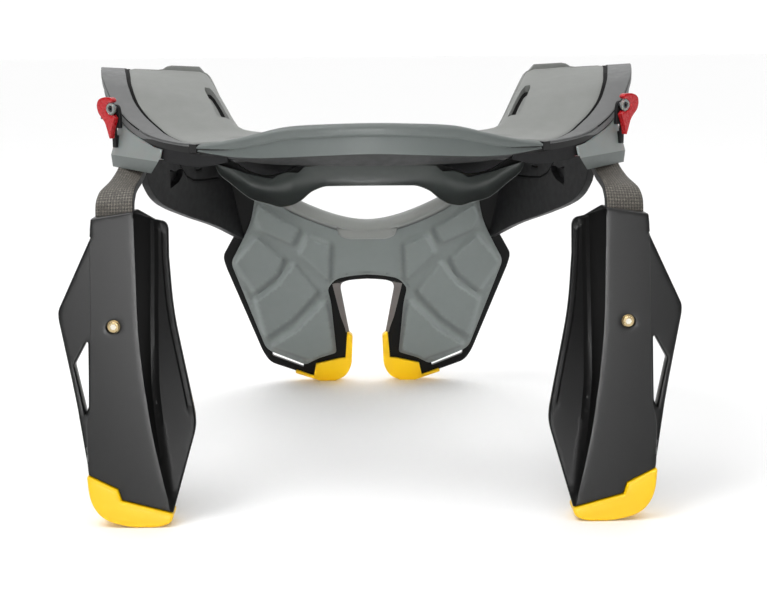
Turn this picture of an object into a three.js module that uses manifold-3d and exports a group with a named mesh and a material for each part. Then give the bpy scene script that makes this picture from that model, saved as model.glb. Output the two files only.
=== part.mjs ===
// Motorcycle neck brace: a padded collar in two hinged halves, two back wings and a padded chest plate.
// Millimetres. +X is the wearer's right, +Y the wearer's front and +Z up; it stands on its four tips.
import * as THREE from 'three';
import { mergeVertices } from 'three/addons/utils/BufferGeometryUtils.js';
import Module from 'manifold-3d';

const wasm = await Module();
wasm.setup();

// Tables: named columns, one row for each section.
function table(columns, rows) {
  return rows.map((row) => Object.fromEntries(columns.map((name, i) => [name, row[i]])));
}

// Clearance between neighbouring pieces.
const GAP = 0.35;
const BED_GAP = 0.95;
const PIN_GAP = 0.1;

// Facets of roundings and round bars.
const CURVE_SEGMENTS = 2;
const ROUND_SEGMENTS = 16;

// Collar, one side of each half. Inner is the neck edge and outer the rim edge of the top surface;
// band is the width of the hard lip or rim outside the pad. Turn 0 is the middle, 90 the crest.
const COLLAR_COLUMNS = ['turn', 'innerX', 'innerY', 'innerZ', 'outerX', 'outerY', 'outerZ', 'band'];
const REAR_COLLAR = mirrored(table(COLLAR_COLUMNS, [
  [0, 0, -82, 181, 0, -130, 187, 26],
  [20, 27, -81, 182, 48, -122.5, 185, 20],
  [35, 44, -79.5, 182.5, 82, -106, 178, 8],
  [36, 45, -79.3, 182.5, 84, -104.8, 178.1, 2],
  [45, 54, -77, 183, 101, -92, 180.3, 7],
  [55, 61.6, -72, 184.5, 116, -76, 187, 11],
  [63, 66.3, -61, 188.5, 127.5, -59.5, 197.3, 12.2],
  [70, 70.6, -48, 193.5, 134, -44.5, 206.5, 13.3],
  [80, 78.2, -24, 202, 139, -22.6, 211, 13.7],
  [90, 84.8, -0.3, 208.7, 143.4, -0.3, 212.4, 13.8],
]));
const FRONT_COLLAR = mirrored(table(COLLAR_COLUMNS, [
  [0, 0, 86, 117.5, 0, 126, 107, 11],
  [25, 41, 80, 131, 62, 116, 124, 11],
  [40, 60, 66, 153, 94, 97, 149, 12],
  [60, 76, 44, 180, 124, 63.5, 180, 13],
  [75, 82.4, 22, 200, 138, 32, 204, 13.6],
  [86, 84.6, 6, 208.6, 142.9, 8, 211.6, 13.8],
  [90, 84.8, 0.3, 209.4, 142.2, 0.3, 212.2, 13.6],
]));
const STEP_TURN = 5;
const CREST_TURN = 90;
const PAD_THICKNESS = 8;
const PAD_NECK_EDGE = [[1.2, PAD_THICKNESS], [0, 5.6], [0.2, 3], [1.4, 1]];
const PAD_RIM_EDGE = [[0.8, 0.2], [0, 1.2], [0, PAD_THICKNESS]];
const PAD_CROWN = { rear: 0.6, front: 2.2, start: 0.12, end: 0.5, fade: 0.63 };
const RIM_THICKNESS = 5;
const RIM_EASE = 1;
const FRAME_EDGE_DEPTH = 9.5;
const FRAME_DEPTH = 14;
const FRAME_EDGE_INSET = 1;
const REAR_FRAME_INNER = 4;
const FRONT_FRAME_INNER = 16;
const BLOCK_REACH = 3;
const BLOCK_HEIGHT = 40;

// Rear lip: heights of its bead, crease, face edge and underside, from the middle to its squared end.
const LIP = mirrored(table(['turn', 'top', 'crease', 'face', 'low', 'bulge'], [
  [0, 188.5, 182.4, 174.6, 168.6, 1],
  [11, 187.8, 181.5, 173.6, 168.6, 1],
  [16, 186.9, 180.8, 173, 168.8, 0.9],
  [22, 183.9, 178, 172.5, 169.5, 0.6],
  [26, 181.7, 176.1, 172.4, 170.2, 0.4],
  [30, 179.8, 175, 172.6, 171, 0.2],
  [34.4, 178.4, 174.2, 173.1, 171.6, 0],
]));
const LIP_TURN = 34.4;
const LIP_END_TURNS = { narrow: 34.6, wide: 36 };
const REAR_STEP_TURN = 45;
const LIP_STEP_TURN = 5;
const LIP_BEAD = table(['inset', 'drop'], [[6, 0.6], [2.2, 0], [0.4, 1.2], [0, 2.6]]);
const LIP_CREASE = { inset: 0.9, rise: 0.8 };
const LIP_FACE = { inset: 0.3, proud: 1.6 };
const LIP_CHAMFER = { inset: 2, reach: 7 };
const RIM_START_TURN = 36.4;

// Rear skirt: a scooped wall under the lip, from the middle to its end.
const SKIRT = mirrored(table(['turn', 'topY', 'topZ', 'midY', 'midZ', 'lowY', 'lowZ'], [
  [0, -110, 168.2, -107.5, 163, -108, 158.4],
  [20, -110, 168.2, -106, 163, -107, 158.2],
  [27, -109, 168, -104, 161, -106, 155.9],
  [33, -108, 167.5, -101, 159, -106, 151.2],
  [37, -107, 166, -99, 158, -106, 149.2],
  [42, -106, 164, -98, 156.5, -106, 148.4],
  [48, -104.5, 162.8, -97, 156, -105.5, 149.9],
  [55, -103, 164, -96, 157.5, -104.5, 151.7],
  [66, -104, 168.2, -98.5, 163.5, -103, 159.5],
  [71, -104, 168.6, -100, 166, -103, 163.5],
  [72.5, -103.5, 168.6, -100.5, 167.4, -103, 166.3],
]));
const SKIRT_END = 72.5;
const SKIRT_THICKNESS = 3;
const SKIRT_RIM_RISE = 0.8;
const SKIRT_STEP = 4;
const NECK_WALL = { turn: 50, inner: 5, outer: 8, low: 160, lap: 2 };

// Back wings: the face leans on a plane, the fin is set back and the inner flange has a channel.
const WING_FOOT_Y = -130;
const WING_LEAN = 0.178;
const WING = table(['turn', 'boxOuter', 'bend', 'valley', 'valleyDepth', 'edgeDepth', 'finDepth'], [
  [-2, 132, 95, 94.3, 1, 1.5, 0.5],
  [8, 133, 96.3, 95.6, 1.2, 2, 0.5],
  [24, 134.5, 100, 98.2, 3, 3.5, 1.5],
  [46, 135, 104.7, 100.5, 5.5, 5, 5],
  [56, 133, 106.2, 101, 6.5, 5.5, 6.5],
  [68, 132.8, 108, 101.5, 7.5, 6, 7],
  [95, 132.5, 110.5, 102, 8.5, 6, 7],
  [121, 132.5, 111.2, 102.2, 9, 6, 7],
  [152, 132.3, 112, 102.5, 9, 6, 7],
]);
const WING_BOX_DEPTH = 13;
const WING_SKIN = 3.5;
const WING_EDGE = { ease: 0.8, step: 0.6, slope: 1.6, slopeDepth: 0.85, taper: 2 };
const WING_REACH = { inner: 78, outer: 152, low: -2, high: 152, near: -170, far: -60 };
const WING_STEP = 14;
const WING_TIP_LINE = [[134.4, 24.5], [120.6, 17.9], [118.8, 12.7], [93.5, 6.6]];
const WING_OUTLINE = [
  [96.9, 124], [97.2, 141.4, 4], [103, 142.8], [111.9, 147.4, 1], [131.8, 143.4, 1], [132.7, 135.2],
  [148.3, 99.4, 2], [147.9, 95.5, 1], ...WING_TIP_LINE, [83.6, 44, 4], [83.6, 50, 4], [89.9, 78, 20],
  [94.7, 99, 20],
];
const WING_WINDOW = [
  [135.4, 87, 1], [141.4, 75.6, 1], [135.6, 51, 0.5], [133.6, 54], [133.7, 85.9, 0.5],
];
const WING_BUMPER = [
  [93.5, 6.6], [118.8, 12.7], [120.6, 17.9], [134.6, 24.6], [132.8, 13.8, 6], [127, 4.5, 6], [114, 0],
  [99, 0], [94.5, 2.4],
];
const WING_BUMPER_PROUD = 1.2;
const BUMPER_BEVEL = 1;
const SCREW = { x: 121.8, z: 93.2, radius: 2.7, length: 1.8, proud: 0.3, socket: 1.3, socketDepth: 1 };

// Strut from the clamp under the rim to the wing socket: centre line and width. Turn faces it outwards.
const STRUT = table(['x', 'y', 'z', 'width'], [
  [115.5, -66, 173, 12],
  [116.4, -69, 165, 12.5],
  [118.6, -79, 158.5, 14],
  [121.2, -92, 153.5, 16.5],
  [121.8, -96.8, 148, 17],
  [121.8, -98.6, 138, 17],
  [121.8, -99.9, 129, 17],
]);
const STRUT_THICKNESS = 3.6;
const STRUT_TURN = 10;

// Clamp under the rim: corners of its shoulder and foot, outer and inner, rear and front.
const BRACKET = {
  fromTurn: 64, toTurn: 48, topDepth: [8.5, 9.5], topWidth: 13,
  shoulder: [[128.4, -66.5, 173.5], [105.6, -82.5, 170], [102.5, -73, 170.5], [122.4, -57, 174]],
  foot: [[127, -66, 166.4], [107.2, -79.5, 163.2], [104.8, -72.5, 163.6], [121.9, -59.5, 167]],
  flange: { inner: -0.6, outer: 0.4, top: 5.4, low: 11, step: 4 },
};

// Latch: a red lever on a level pin and the eye of the bracket that carries the pin. Its sizes are in
// a frame with the pin's outer end at the origin, y along the pin and x to the front; turn places it.
const LATCH = {
  x: 125.5, y: -75, z: 193.2, turn: 35, thickness: 3.2, bevel: 0.3,
  pinRadius: 1.5, pinHead: 3, headLength: 1, socket: 1.3, socketDepth: 0.8,
  eyeRadius: 3, eyeDepth: [3.55, 5.4], eyeFoot: -17, footDepth: 9, footZ: [-19, -10],
};
const LATCH_OUTLINE = [
  [-0.8, 4.6, 1.5], [4.4, 5.6, 2], [8.9, 4.4, 2], [10.2, 1.2, 2], [9.5, -2, 2], [6.3, -4.7, 2],
  [3.9, -5.8, 1], [2.8, -10.8], [2.1, -14.4], [0.7, -14.4], [-0.4, -10.8], [-1.7, -6.1, 1], [-2.8, -1.5, 1],
  [-2.8, 2, 1],
];

// Upright pins where the halves meet, and the ears around them.
const HINGE = {
  x: 142.6, radius: 1.2, proud: 0.5, ear: 2.2, web: 1.54, rearZ: [184.6, 189.2], frontZ: [189.6, 194],
  mouth: 6, postX: 136.5, postHalf: 2.5, postY: [3.6, 8.4], postTop: 203, postRise: 0.5,
};

// Chest: its near surface leans on a plane; layers are depths behind that surface.
const CHEST_Y = 86;
const CHEST_Z = 117;
const CHEST_LEAN = 0.42;
const CHEST_LAYERS = { panel: 0, foam: 2.4, plate: 6.3, back: 11.3, behind: 90, bumper: [4.6, 13] };
const CHEST_BLOCK = [[0, 40], [140, 40], [140, 240], [0, 240]];
const CHEST_PLATE = [
  [0, 100], [26, 105], [46, 119], [62, 132], [84, 140], [83.2, 107], [91.6, 92.4, 3], [90.2, 85.4, 4],
  [68.8, 23.6, 4], [64.4, 16.6, 4], [40.8, 6.6, 2], [27, 0.8, 4], [14, 5, 5], [11.5, 30], [17.2, 72, 3],
  [14, 76.3, 6], [0, 78],
];
const CHEST_SLOT = [[63.5, 24.6, 1], [43, 13.6, 0.5], [43.8, 11, 0.5], [63, 19.4, 1.5]];
const CHEST_FOAM = [
  [0, 112], [20, 114], [46, 128], [66, 136], [69.4, 129.5], [72, 116.5, 8], [78, 104, 8],
  [86.6, 88.2, 4], [67.9, 28.6, 4], [40.7, 13.8, 3], [32.7, 18.8, 2], [20.8, 22, 2], [22.9, 60.3, 6],
  [24.4, 70.6, 3], [19.5, 77.6, 5], [0, 81.2],
];
const CHEST_PANELS = [
  [[66, 126], [43, 110], [47, 102], [66, 111], [69, 119]],
  [[69, 105.5], [54, 90], [57.5, 81], [72, 68.5], [83.2, 88.4]],
  [[37, 105], [24, 99.5], [25, 77], [42, 94.5]],
  [[46.6, 86.5], [33, 67.3], [48.5, 49.3], [66, 36], [71.4, 61.5], [56.5, 73]],
  [[28, 59], [26.4, 52], [23, 24.5], [37, 18.5], [62, 28.6], [46.5, 39.3]],
];
const PANEL_BEVEL = 2.2;
const PLATE_BEVEL = 1.5;
const FOAM_BEVEL = 1;
const CHEST_BUMPER = [
  [13, 38.7], [9.6, 35.8], [10.2, 12, 4], [14.5, 3.5, 4], [22, 0], [32, 0], [49.1, 8.1], [48.1, 10.7],
  [35, 5.4], [33, 13.4], [19.5, 17.2], [14.4, 17.6],
];
const NECK_TAB = bothSides([[0, 104], [12.5, 104, 3], [17.6, 106.6, 2], [19, 112], [0, 112]]);
const NECK_TAB_DEPTH = [-0.6, 2.6];
const CUT_DEPTH = { near: -5, far: 30 };

// Front arms: walls on a plan line from their rear end to the chest plate.
const ARM_START = [119.8, -10];
const ARM_END = [82, 85];
const ARM_THICKNESS = 4.5;
const ARM = table(['turn', 'top', 'bottom'], [
  [0, 170, 157],
  [1.5, 176, 152],
  [5, 183, 147],
  [10, 189, 142],
  [18, 200, 137.5],
  [45, 200, 128.2],
  [81, 175, 117],
  [106, 150, 107.4],
  [122, 142, 101],
]);
const ARM_STATIONS = { end: [0, 1.5, 5, 10, 18], from: 27, to: 122, step: 10 };
const ARM_DIMPLE = { along: 25.4, depth: 3, clear: 3 };
const ARM_DIMPLE_OUTLINE = [
  [0, 144.9], [0, 155.6], [6, 153.9], [11, 155.2], [14.7, 154.8], [14.2, 151.3], [9, 147.5],
];

// Finishes
const FINISH = {
  foam: { color: 0x9fa29e, roughness: 0.85 },
  rim: { color: 0x919193, roughness: 0.6 },
  lip: { color: 0x68716e, roughness: 0.45 },
  black: { color: 0x1c1d1c, roughness: 0.5 },
  clamp: { color: 0x9aa19e, roughness: 0.35 },
  weave: { color: 0x5a5751, roughness: 0.55 },
  steel: { color: 0xb9ad92, roughness: 0.3, metalness: 1 },
  dark: { color: 0x3a3a3c, roughness: 0.4, metalness: 0.8 },
  red: { color: 0xb5141f, roughness: 0.35 },
  yellow: { color: 0xf7c70c, roughness: 0.4 },
  chestFoam: { color: 0x7d8582, roughness: 0.85 },
};

// The same rows on the other side: columns of x change sign, and so does the turn.
function mirrored(rows) {
  const flipped = rows.filter((row) => row.turn > 0).map((row) => {
    const copy = { ...row };
    for (const name of Object.keys(row)) {
      if (name === 'turn' || name.endsWith('X')) copy[name] = -row[name];
    }
    return copy;
  });
  return [...flipped.reverse(), ...rows];
}

// Slope of a column at a row, chosen so that the curve never overshoots its rows.
function rowSlope(rows, i, name) {
  const rise = (k) => (rows[k + 1][name] - rows[k][name]) / (rows[k + 1].turn - rows[k].turn);
  if (i === 0) return rise(0);
  if (i === rows.length - 1) return rise(i - 1);
  const before = rise(i - 1);
  const after = rise(i);
  return before * after > 0 ? (2 * before * after) / (before + after) : 0;
}

// Smooth reading of a table between its rows.
function readTable(rows, turn) {
  let i = 0;
  while (i < rows.length - 2 && turn > rows[i + 1].turn) i += 1;
  const span = rows[i + 1].turn - rows[i].turn;
  const t = (turn - rows[i].turn) / span;
  const values = {};
  for (const name of Object.keys(rows[i])) {
    const leave = rowSlope(rows, i, name) * span;
    const arrive = rowSlope(rows, i + 1, name) * span;
    const first = rows[i][name] * (1 + 2 * t) + leave * t;
    const last = rows[i + 1][name] * (3 - 2 * t) + arrive * (t - 1);
    values[name] = first * (1 - t) ** 2 + last * t ** 2;
  }
  return values;
}

// Even steps from one value to another, both included.
function steps(from, to, step) {
  const count = Math.max(1, Math.round(Math.abs(to - from) / step));
  return Array.from({ length: count + 1 }, (_, i) => from + ((to - from) * i) / count);
}

// Closed geometry from vertices and triangles, turned so that its faces point out.
function closedGeometry(positions, faces) {
  let volume = 0;
  const corner = (i) => new THREE.Vector3().fromArray(positions, 3 * i);
  for (let f = 0; f < faces.length; f += 3) {
    const [a, b, c] = [corner(faces[f]), corner(faces[f + 1]), corner(faces[f + 2])];
    volume += a.dot(b.cross(c));
  }
  const outward = volume > 0 ? faces : [...faces].reverse();
  const geometry = new THREE.BufferGeometry();
  geometry.setAttribute('position', new THREE.Float32BufferAttribute(positions, 3));
  geometry.setIndex([...outward]);
  return geometry;
}

// Triangles that close a planar section, in the section's own direction.
function capFaces(section, first) {
  const normal = new THREE.Vector3();
  section.forEach((p, i) => {
    const q = section[(i + 1) % section.length];
    normal.x += (p[1] - q[1]) * (p[2] + q[2]);
    normal.y += (p[2] - q[2]) * (p[0] + q[0]);
    normal.z += (p[0] - q[0]) * (p[1] + q[1]);
  });
  const size = normal.toArray().map(Math.abs);
  const drop = size.indexOf(Math.max(...size));
  const flat = section.map((p) => new THREE.Vector2(p[(drop + 1) % 3], p[(drop + 2) % 3]));
  const direction = Math.sign(THREE.ShapeUtils.area(flat));
  return THREE.ShapeUtils.triangulateShape(flat, []).flatMap((face) => {
    const sameWay = Math.sign(THREE.ShapeUtils.area(face.map((i) => flat[i]))) === direction;
    return (sameWay ? face : [...face].reverse()).map((i) => i + first);
  });
}

// Solid skin through closed sections that all have the same number of points. The diagonals of its
// second half mirror those of its first, so a piece that is alike on both sides stays so.
function loft(sections) {
  const count = sections[0].length;
  const faces = capFaces(sections[0], 0).reverse();
  for (let s = 0; s < sections.length - 1; s += 1) {
    for (let p = 0; p < count; p += 1) {
      const a = s * count + p;
      const b = s * count + ((p + 1) % count);
      if (2 * s < sections.length - 1) faces.push(a, b, b + count, a, b + count, a + count);
      else faces.push(a, b, a + count, b, b + count, a + count);
    }
  }
  faces.push(...capFaces(sections.at(-1), (sections.length - 1) * count));
  return closedGeometry(sections.flat(2), faces);
}

// Manifold solids for cutting and joining.
function solid(geometry) {
  const bare = geometry.clone();
  bare.deleteAttribute('normal');
  bare.deleteAttribute('uv');
  const merged = mergeVertices(bare, 1e-4);
  const mesh = new wasm.Mesh({
    numProp: 3,
    vertProperties: new Float32Array(merged.attributes.position.array),
    triVerts: new Uint32Array(merged.index.array),
  });
  return new wasm.Manifold(mesh);
}

function geometryOf(manifold) {
  const mesh = manifold.getMesh();
  return closedGeometry([...mesh.vertProperties], [...mesh.triVerts]);
}

function cut(geometry, ...tools) {
  return geometryOf(tools.reduce((body, tool) => body.subtract(solid(tool)), solid(geometry)));
}

function join(...geometries) {
  return geometryOf(geometries.map(solid).reduce((body, other) => body.add(other)));
}

function common(geometry, other) {
  return geometryOf(solid(geometry).intersect(solid(other)));
}

function mirror(geometry) {
  const flipX = (value, i) => (i % 3 === 0 ? -value : value);
  return closedGeometry([...geometry.attributes.position.array].map(flipX), [...geometry.index.array]);
}

// Outline whose corners carry an optional third value, the length of their rounding.
function roundedShape(points) {
  const shape = new THREE.Shape();
  points.forEach(([x, z, round = 0], i) => {
    const corner = new THREE.Vector2(x, z);
    const before = new THREE.Vector2(...points.at(i - 1).slice(0, 2)).sub(corner);
    const after = new THREE.Vector2(...points[(i + 1) % points.length].slice(0, 2)).sub(corner);
    const start = before.setLength(Math.min(round, before.length() * 0.49)).add(corner);
    const end = after.setLength(Math.min(round, after.length() * 0.49)).add(corner);
    if (i === 0) shape.moveTo(start.x, start.y);
    else shape.lineTo(start.x, start.y);
    if (round > 0) shape.quadraticCurveTo(corner.x, corner.y, end.x, end.y);
  });
  return shape;
}

// Outline in x and z given depth along y behind a leaning plane; grow widens the outline.
function leanedPlate(points, plane, near, far, bevel = 0, grow = 0) {
  const geometry = new THREE.ExtrudeGeometry(roundedShape(points), {
    depth: far - near - 2 * bevel,
    curveSegments: CURVE_SEGMENTS,
    bevelEnabled: bevel > 0 || grow !== 0,
    bevelSegments: 1,
    bevelThickness: Math.max(bevel, 1e-3),
    bevelSize: bevel,
    bevelOffset: grow - bevel,
  });
  const place = geometry.attributes.position;
  for (let i = 0; i < place.count; i += 1) {
    const [x, z, depth] = [place.getX(i), place.getY(i), place.getZ(i)];
    place.setXYZ(i, x, plane(z) + near + bevel + depth, z);
  }
  const faces = Array.from({ length: place.count }, (_, i) => i);
  return closedGeometry([...place.array], faces);
}

// Both halves of an outline that starts and ends on the middle line.
function bothSides(points) {
  const other = points.filter(([x]) => x !== 0).map(([x, z, round]) => [-x, z, round]);
  return [...points, ...other.reverse()];
}

const wingPlane = (z) => WING_FOOT_Y + WING_LEAN * z;
const chestPlane = (z) => CHEST_Y + CHEST_LEAN * (CHEST_Z - z);
const upright = () => 0;

const inOrder = (a, b) => (a < b ? [a, b] : [b, a]);

function box(x, y, z) {
  const geometry = new THREE.BoxGeometry(x[1] - x[0], y[1] - y[0], z[1] - z[0]);
  return geometry.translate((x[0] + x[1]) / 2, (y[0] + y[1]) / 2, (z[0] + z[1]) / 2);
}

function cylinderAlongY(x, z, radius, y) {
  const geometry = new THREE.CylinderGeometry(radius, radius, y[1] - y[0], ROUND_SEGMENTS);
  return geometry.translate(x, (y[0] + y[1]) / 2, z);
}

function cylinderAlongZ(x, y, radius, z) {
  const geometry = new THREE.CylinderGeometry(radius, radius, z[1] - z[0], ROUND_SEGMENTS);
  return geometry.rotateX(Math.PI / 2).translate(x, y, (z[0] + z[1]) / 2);
}

// Collar

// Width of the collar's top, from neck edge to rim edge, seen from above.
function collarWidth(row) {
  return Math.hypot(row.outerX - row.innerX, row.outerY - row.innerY);
}

// Point at a distance from the neck edge along a section, and at a depth below the top surface.
function collarPoint(row, across, depth) {
  const w = across / collarWidth(row);
  const mix = (a, b) => a + (b - a) * w;
  return [mix(row.innerX, row.outerX), mix(row.innerY, row.outerY), mix(row.innerZ, row.outerZ) - depth];
}

// Sections along a stretch of the collar; profile gives [across, depth] pairs for a row.
function collarLoft(rows, turns, profile) {
  return loft(turns.map((turn) => {
    const row = readTable(rows, turn);
    return profile(row).map(([across, depth]) => collarPoint(row, across, depth));
  }));
}

// Turns from crest to crest with close rows where the lip ends.
function crestToCrest(extra = []) {
  return [...steps(-CREST_TURN, CREST_TURN, STEP_TURN), ...extra].sort((a, b) => a - b);
}

const lipEnds = Object.values(LIP_END_TURNS).flatMap((turn) => [-turn, turn]);
const rearTurns = crestToCrest(lipEnds).filter((turn) => Math.abs(turn) !== 35);
const frontTurns = crestToCrest([-86, 86]);
const padOuter = (row) => collarWidth(row) - row.band - GAP;

// Pad profile: a rounded neck edge, a raised inner part of the top and an eased outer edge.
function padProfile(crown) {
  return (row) => {
    const outer = padOuter(row);
    const { start, end, fade } = PAD_CROWN;
    const top = [[outer * start, -crown], [outer * end, -crown], [outer * fade, 0]];
    return [...PAD_NECK_EDGE, ...top, ...PAD_RIM_EDGE.map(([inset, depth]) => [outer - inset, depth])];
  };
}

// Recess near the neck edge of a side pad, pointed at both ends.
const PAD_SLOT = table(['turn', 'half'], [[59, 0.8], [61, 2], [68, 2.4], [75, 2.2], [77.5, 0.9]]);
const PAD_SLOT_PLACE = { across: 7.2, depth: 4.5, clear: -3 };

function padSlot(side) {
  return loft(PAD_SLOT.map(({ turn, half }) => {
    const row = readTable(REAR_COLLAR, side * turn);
    const { across: middle, depth: floor, clear } = PAD_SLOT_PLACE;
    const [near, far] = [middle - half, middle + half];
    const corners = [[near, clear], [far, clear], [far, floor], [near, floor]];
    return corners.map(([across, depth]) => collarPoint(row, across, depth));
  }));
}

// Frame profile: a flat bed under the pad, stepped up under the rim outside it. Behind the lip the
// bed stops where the pad does, and the step grows in between.
function frameProfile(inner, stepFrom) {
  return (row) => {
    const turn = Math.abs(row.turn);
    const bed = PAD_THICKNESS + BED_GAP;
    const grown = THREE.MathUtils.clamp((turn - stepFrom) / STEP_TURN, 0, 1);
    const rise = grown * (PAD_THICKNESS - RIM_THICKNESS);
    const behindLip = stepFrom > 0 && turn < LIP_END_TURNS.wide;
    const outer = behindLip ? padOuter(row) : collarWidth(row) - FRAME_EDGE_INSET;
    const wall = behindLip ? outer - FRAME_EDGE_INSET : padOuter(row) + GAP;
    return [
      [inner, bed], [wall, bed], [wall, bed - rise], [outer, bed - rise], [outer, FRAME_EDGE_DEPTH],
      [inner, FRAME_DEPTH],
    ];
  };
}

// Rim profile: a flat strip whose two top edges are eased.
function rimProfile(row) {
  const outer = collarWidth(row);
  const inner = outer - row.band + GAP;
  const ease = Math.min(RIM_EASE, (outer - inner) / 4);
  return [
    [inner, ease], [inner + ease, 0], [outer - ease, 0], [outer, ease], [outer, RIM_THICKNESS],
    [inner, RIM_THICKNESS],
  ];
}

function lipSection(turn) {
  const row = readTable(REAR_COLLAR, turn);
  const lip = readTable(LIP, turn);
  const width = collarWidth(row);
  const at = (inset, z) => {
    const [x, y] = collarPoint(row, width - inset, 0);
    return [x, y, z];
  };
  const rear = row.band;
  const seat = collarPoint(row, width - rear, 0)[2];
  return [
    at(rear, seat), ...LIP_BEAD.map(({ inset, drop }) => at(inset, lip.top - drop)),
    at(0, lip.crease + LIP_CREASE.rise), at(LIP_CREASE.inset, lip.crease),
    at(LIP_FACE.inset - LIP_FACE.proud * lip.bulge, lip.face),
    at(LIP_CHAMFER.inset + LIP_CHAMFER.reach * lip.bulge, lip.low), at(rear, lip.low),
  ];
}

function skirtSection(x) {
  const row = readTable(SKIRT, x);
  const line = [[row.topY, row.topZ], [row.midY, row.midZ], [row.lowY, row.lowZ]];
  const rises = [0, 0, SKIRT_RIM_RISE];
  const back = line.map(([y, z], i) => [y + SKIRT_THICKNESS, z + rises[i]]).reverse();
  return [...line, ...back].map(([y, z]) => [x, y, z]);
}

function neckWall() {
  return collarLoft(REAR_COLLAR, steps(-NECK_WALL.turn, NECK_WALL.turn, STEP_TURN), (row) => {
    const { inner, outer, low, lap } = NECK_WALL;
    const floor = row.innerZ - low;
    return [[inner, FRAME_DEPTH - lap], [outer, FRAME_DEPTH - lap], [outer, floor], [inner, floor]];
  });
}

// Ear of one half around an upright pin, with the post that hangs it from the frame. Way is 1 for the
// front half and -1 for the rear half.
function hingeEar(side, way, heights) {
  const { web: half, postX, postHalf, postY, postTop, postRise } = HINGE;
  const [near, far] = postY;
  const plan = [
    [HINGE.x + half, half], [postX + postHalf, far], [postX - postHalf, far], [postX - postHalf, near],
    [HINGE.x - half, -half],
  ];
  const web = loft(heights.map((z) => plan.map(([x, y]) => [side * x, way * y, z])));
  const wide = [side * postX - postHalf, side * postX + postHalf];
  const post = box(wide, inOrder(way * near, way * far), [heights[0] + postRise, postTop]);
  const eye = cylinderAlongZ(side * HINGE.x, 0, HINGE.ear, heights);
  return join(web, post, eye);
}

function hingeBore(side) {
  const height = [HINGE.rearZ[0] - 1, HINGE.frontZ[1] + 1];
  return cylinderAlongZ(side * HINGE.x, 0, HINGE.radius + PIN_GAP, height);
}

function rearFrame() {
  const ring = collarLoft(REAR_COLLAR, rearTurns, frameProfile(REAR_FRAME_INNER, REAR_STEP_TURN));
  const ears = [1, -1].map((side) => hingeEar(side, -1, HINGE.rearZ));
  return cut(join(ring, neckWall(), ...ears), hingeBore(1), hingeBore(-1));
}

function frontFrame() {
  const ring = collarLoft(FRONT_COLLAR, frontTurns, frameProfile(FRONT_FRAME_INNER, -STEP_TURN));
  const ears = [1, -1].map((side) => hingeEar(side, 1, HINGE.frontZ));
  const reach = HINGE.radius + PIN_GAP;
  const height = [HINGE.frontZ[0] - 1, HINGE.frontZ[1] + 1];
  const mouth = box([-HINGE.x - reach, -HINGE.x + reach], [-HINGE.mouth, 0], height);
  return cut(join(ring, ...ears), hingeBore(1), hingeBore(-1), mouth);
}

// Everything above the underside of a collar half, so that what it carries meets it with a gap.
function aboveFrame(rows, turns, inner) {
  return collarLoft(rows, turns, (row) => {
    const [near, far] = [inner - GAP, collarWidth(row) + BLOCK_REACH];
    const [nearFloor, farFloor] = [FRAME_DEPTH + GAP, FRAME_EDGE_DEPTH + GAP];
    return [[near, -BLOCK_HEIGHT], [far, -BLOCK_HEIGHT], [far, farFloor], [near, nearFloor]];
  });
}

function aboveFrontPad() {
  const floor = PAD_THICKNESS + BED_GAP;
  const [near, far] = [-BLOCK_REACH, FRONT_FRAME_INNER];
  const block = [[near, -BLOCK_HEIGHT], [far, -BLOCK_HEIGHT], [far, floor], [near, floor]];
  return collarLoft(FRONT_COLLAR, frontTurns, () => block);
}

const aboveFrontFrame = () => aboveFrame(FRONT_COLLAR, frontTurns, FRONT_FRAME_INNER);
const aboveRearFrame = () => aboveFrame(REAR_COLLAR, rearTurns, REAR_FRAME_INNER);

// Rear carriers

function strutSections(grow) {
  const curve = new THREE.CatmullRomCurve3(STRUT.map(({ x, y, z }) => new THREE.Vector3(x, y, z)));
  return STRUT.map(({ width }, i) => {
    const t = i / (STRUT.length - 1);
    const along = curve.getTangent(t);
    const centre = curve.getPoint(t);
    const across = new THREE.Vector3(1, 0, 0).projectOnPlane(along).normalize();
    across.applyAxisAngle(along, -THREE.MathUtils.degToRad(STRUT_TURN));
    const normal = new THREE.Vector3().crossVectors(along, across);
    const half = width / 2 + grow;
    const thick = STRUT_THICKNESS / 2 + grow;
    const corners = [[-half, -thick], [half, -thick], [half, thick], [-half, thick]];
    const at = (u, v) => centre.clone().addScaledVector(across, u).addScaledVector(normal, v);
    return corners.map(([u, v]) => at(u, v).toArray());
  });
}

// From the latch's own frame to its place on the right side.
function placeLatch(geometry) {
  return geometry.rotateZ(THREE.MathUtils.degToRad(LATCH.turn)).translate(LATCH.x, LATCH.y, LATCH.z);
}

function latchBore() {
  const depth = [-LATCH.headLength * 2, LATCH.footDepth + 1];
  return placeLatch(cylinderAlongY(0, 0, LATCH.pinRadius + PIN_GAP, depth));
}

// Eye for the latch pin: a thin plate with a round top that stands on the bracket.
function latchEye() {
  const { eyeRadius, eyeDepth, eyeFoot } = LATCH;
  const plate = box([-eyeRadius, eyeRadius], eyeDepth, [eyeFoot, 0]);
  return placeLatch(join(plate, cylinderAlongY(0, 0, eyeRadius, eyeDepth)));
}

function latchFoot() {
  const { eyeRadius, eyeDepth, footDepth, footZ } = LATCH;
  return placeLatch(box([-eyeRadius, eyeRadius], [eyeDepth[0], footDepth], footZ));
}

// Thin upper edge of the bracket, outside the frame and below the rim.
function bracketFlange() {
  const { inner, outer, top, low, step } = BRACKET.flange;
  return collarLoft(REAR_COLLAR, steps(BRACKET.toTurn, BRACKET.fromTurn, step), (row) => {
    const [near, far] = [collarWidth(row) + inner, collarWidth(row) + outer];
    return [[near, top], [far, top], [far, low], [near, low]];
  });
}

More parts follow.
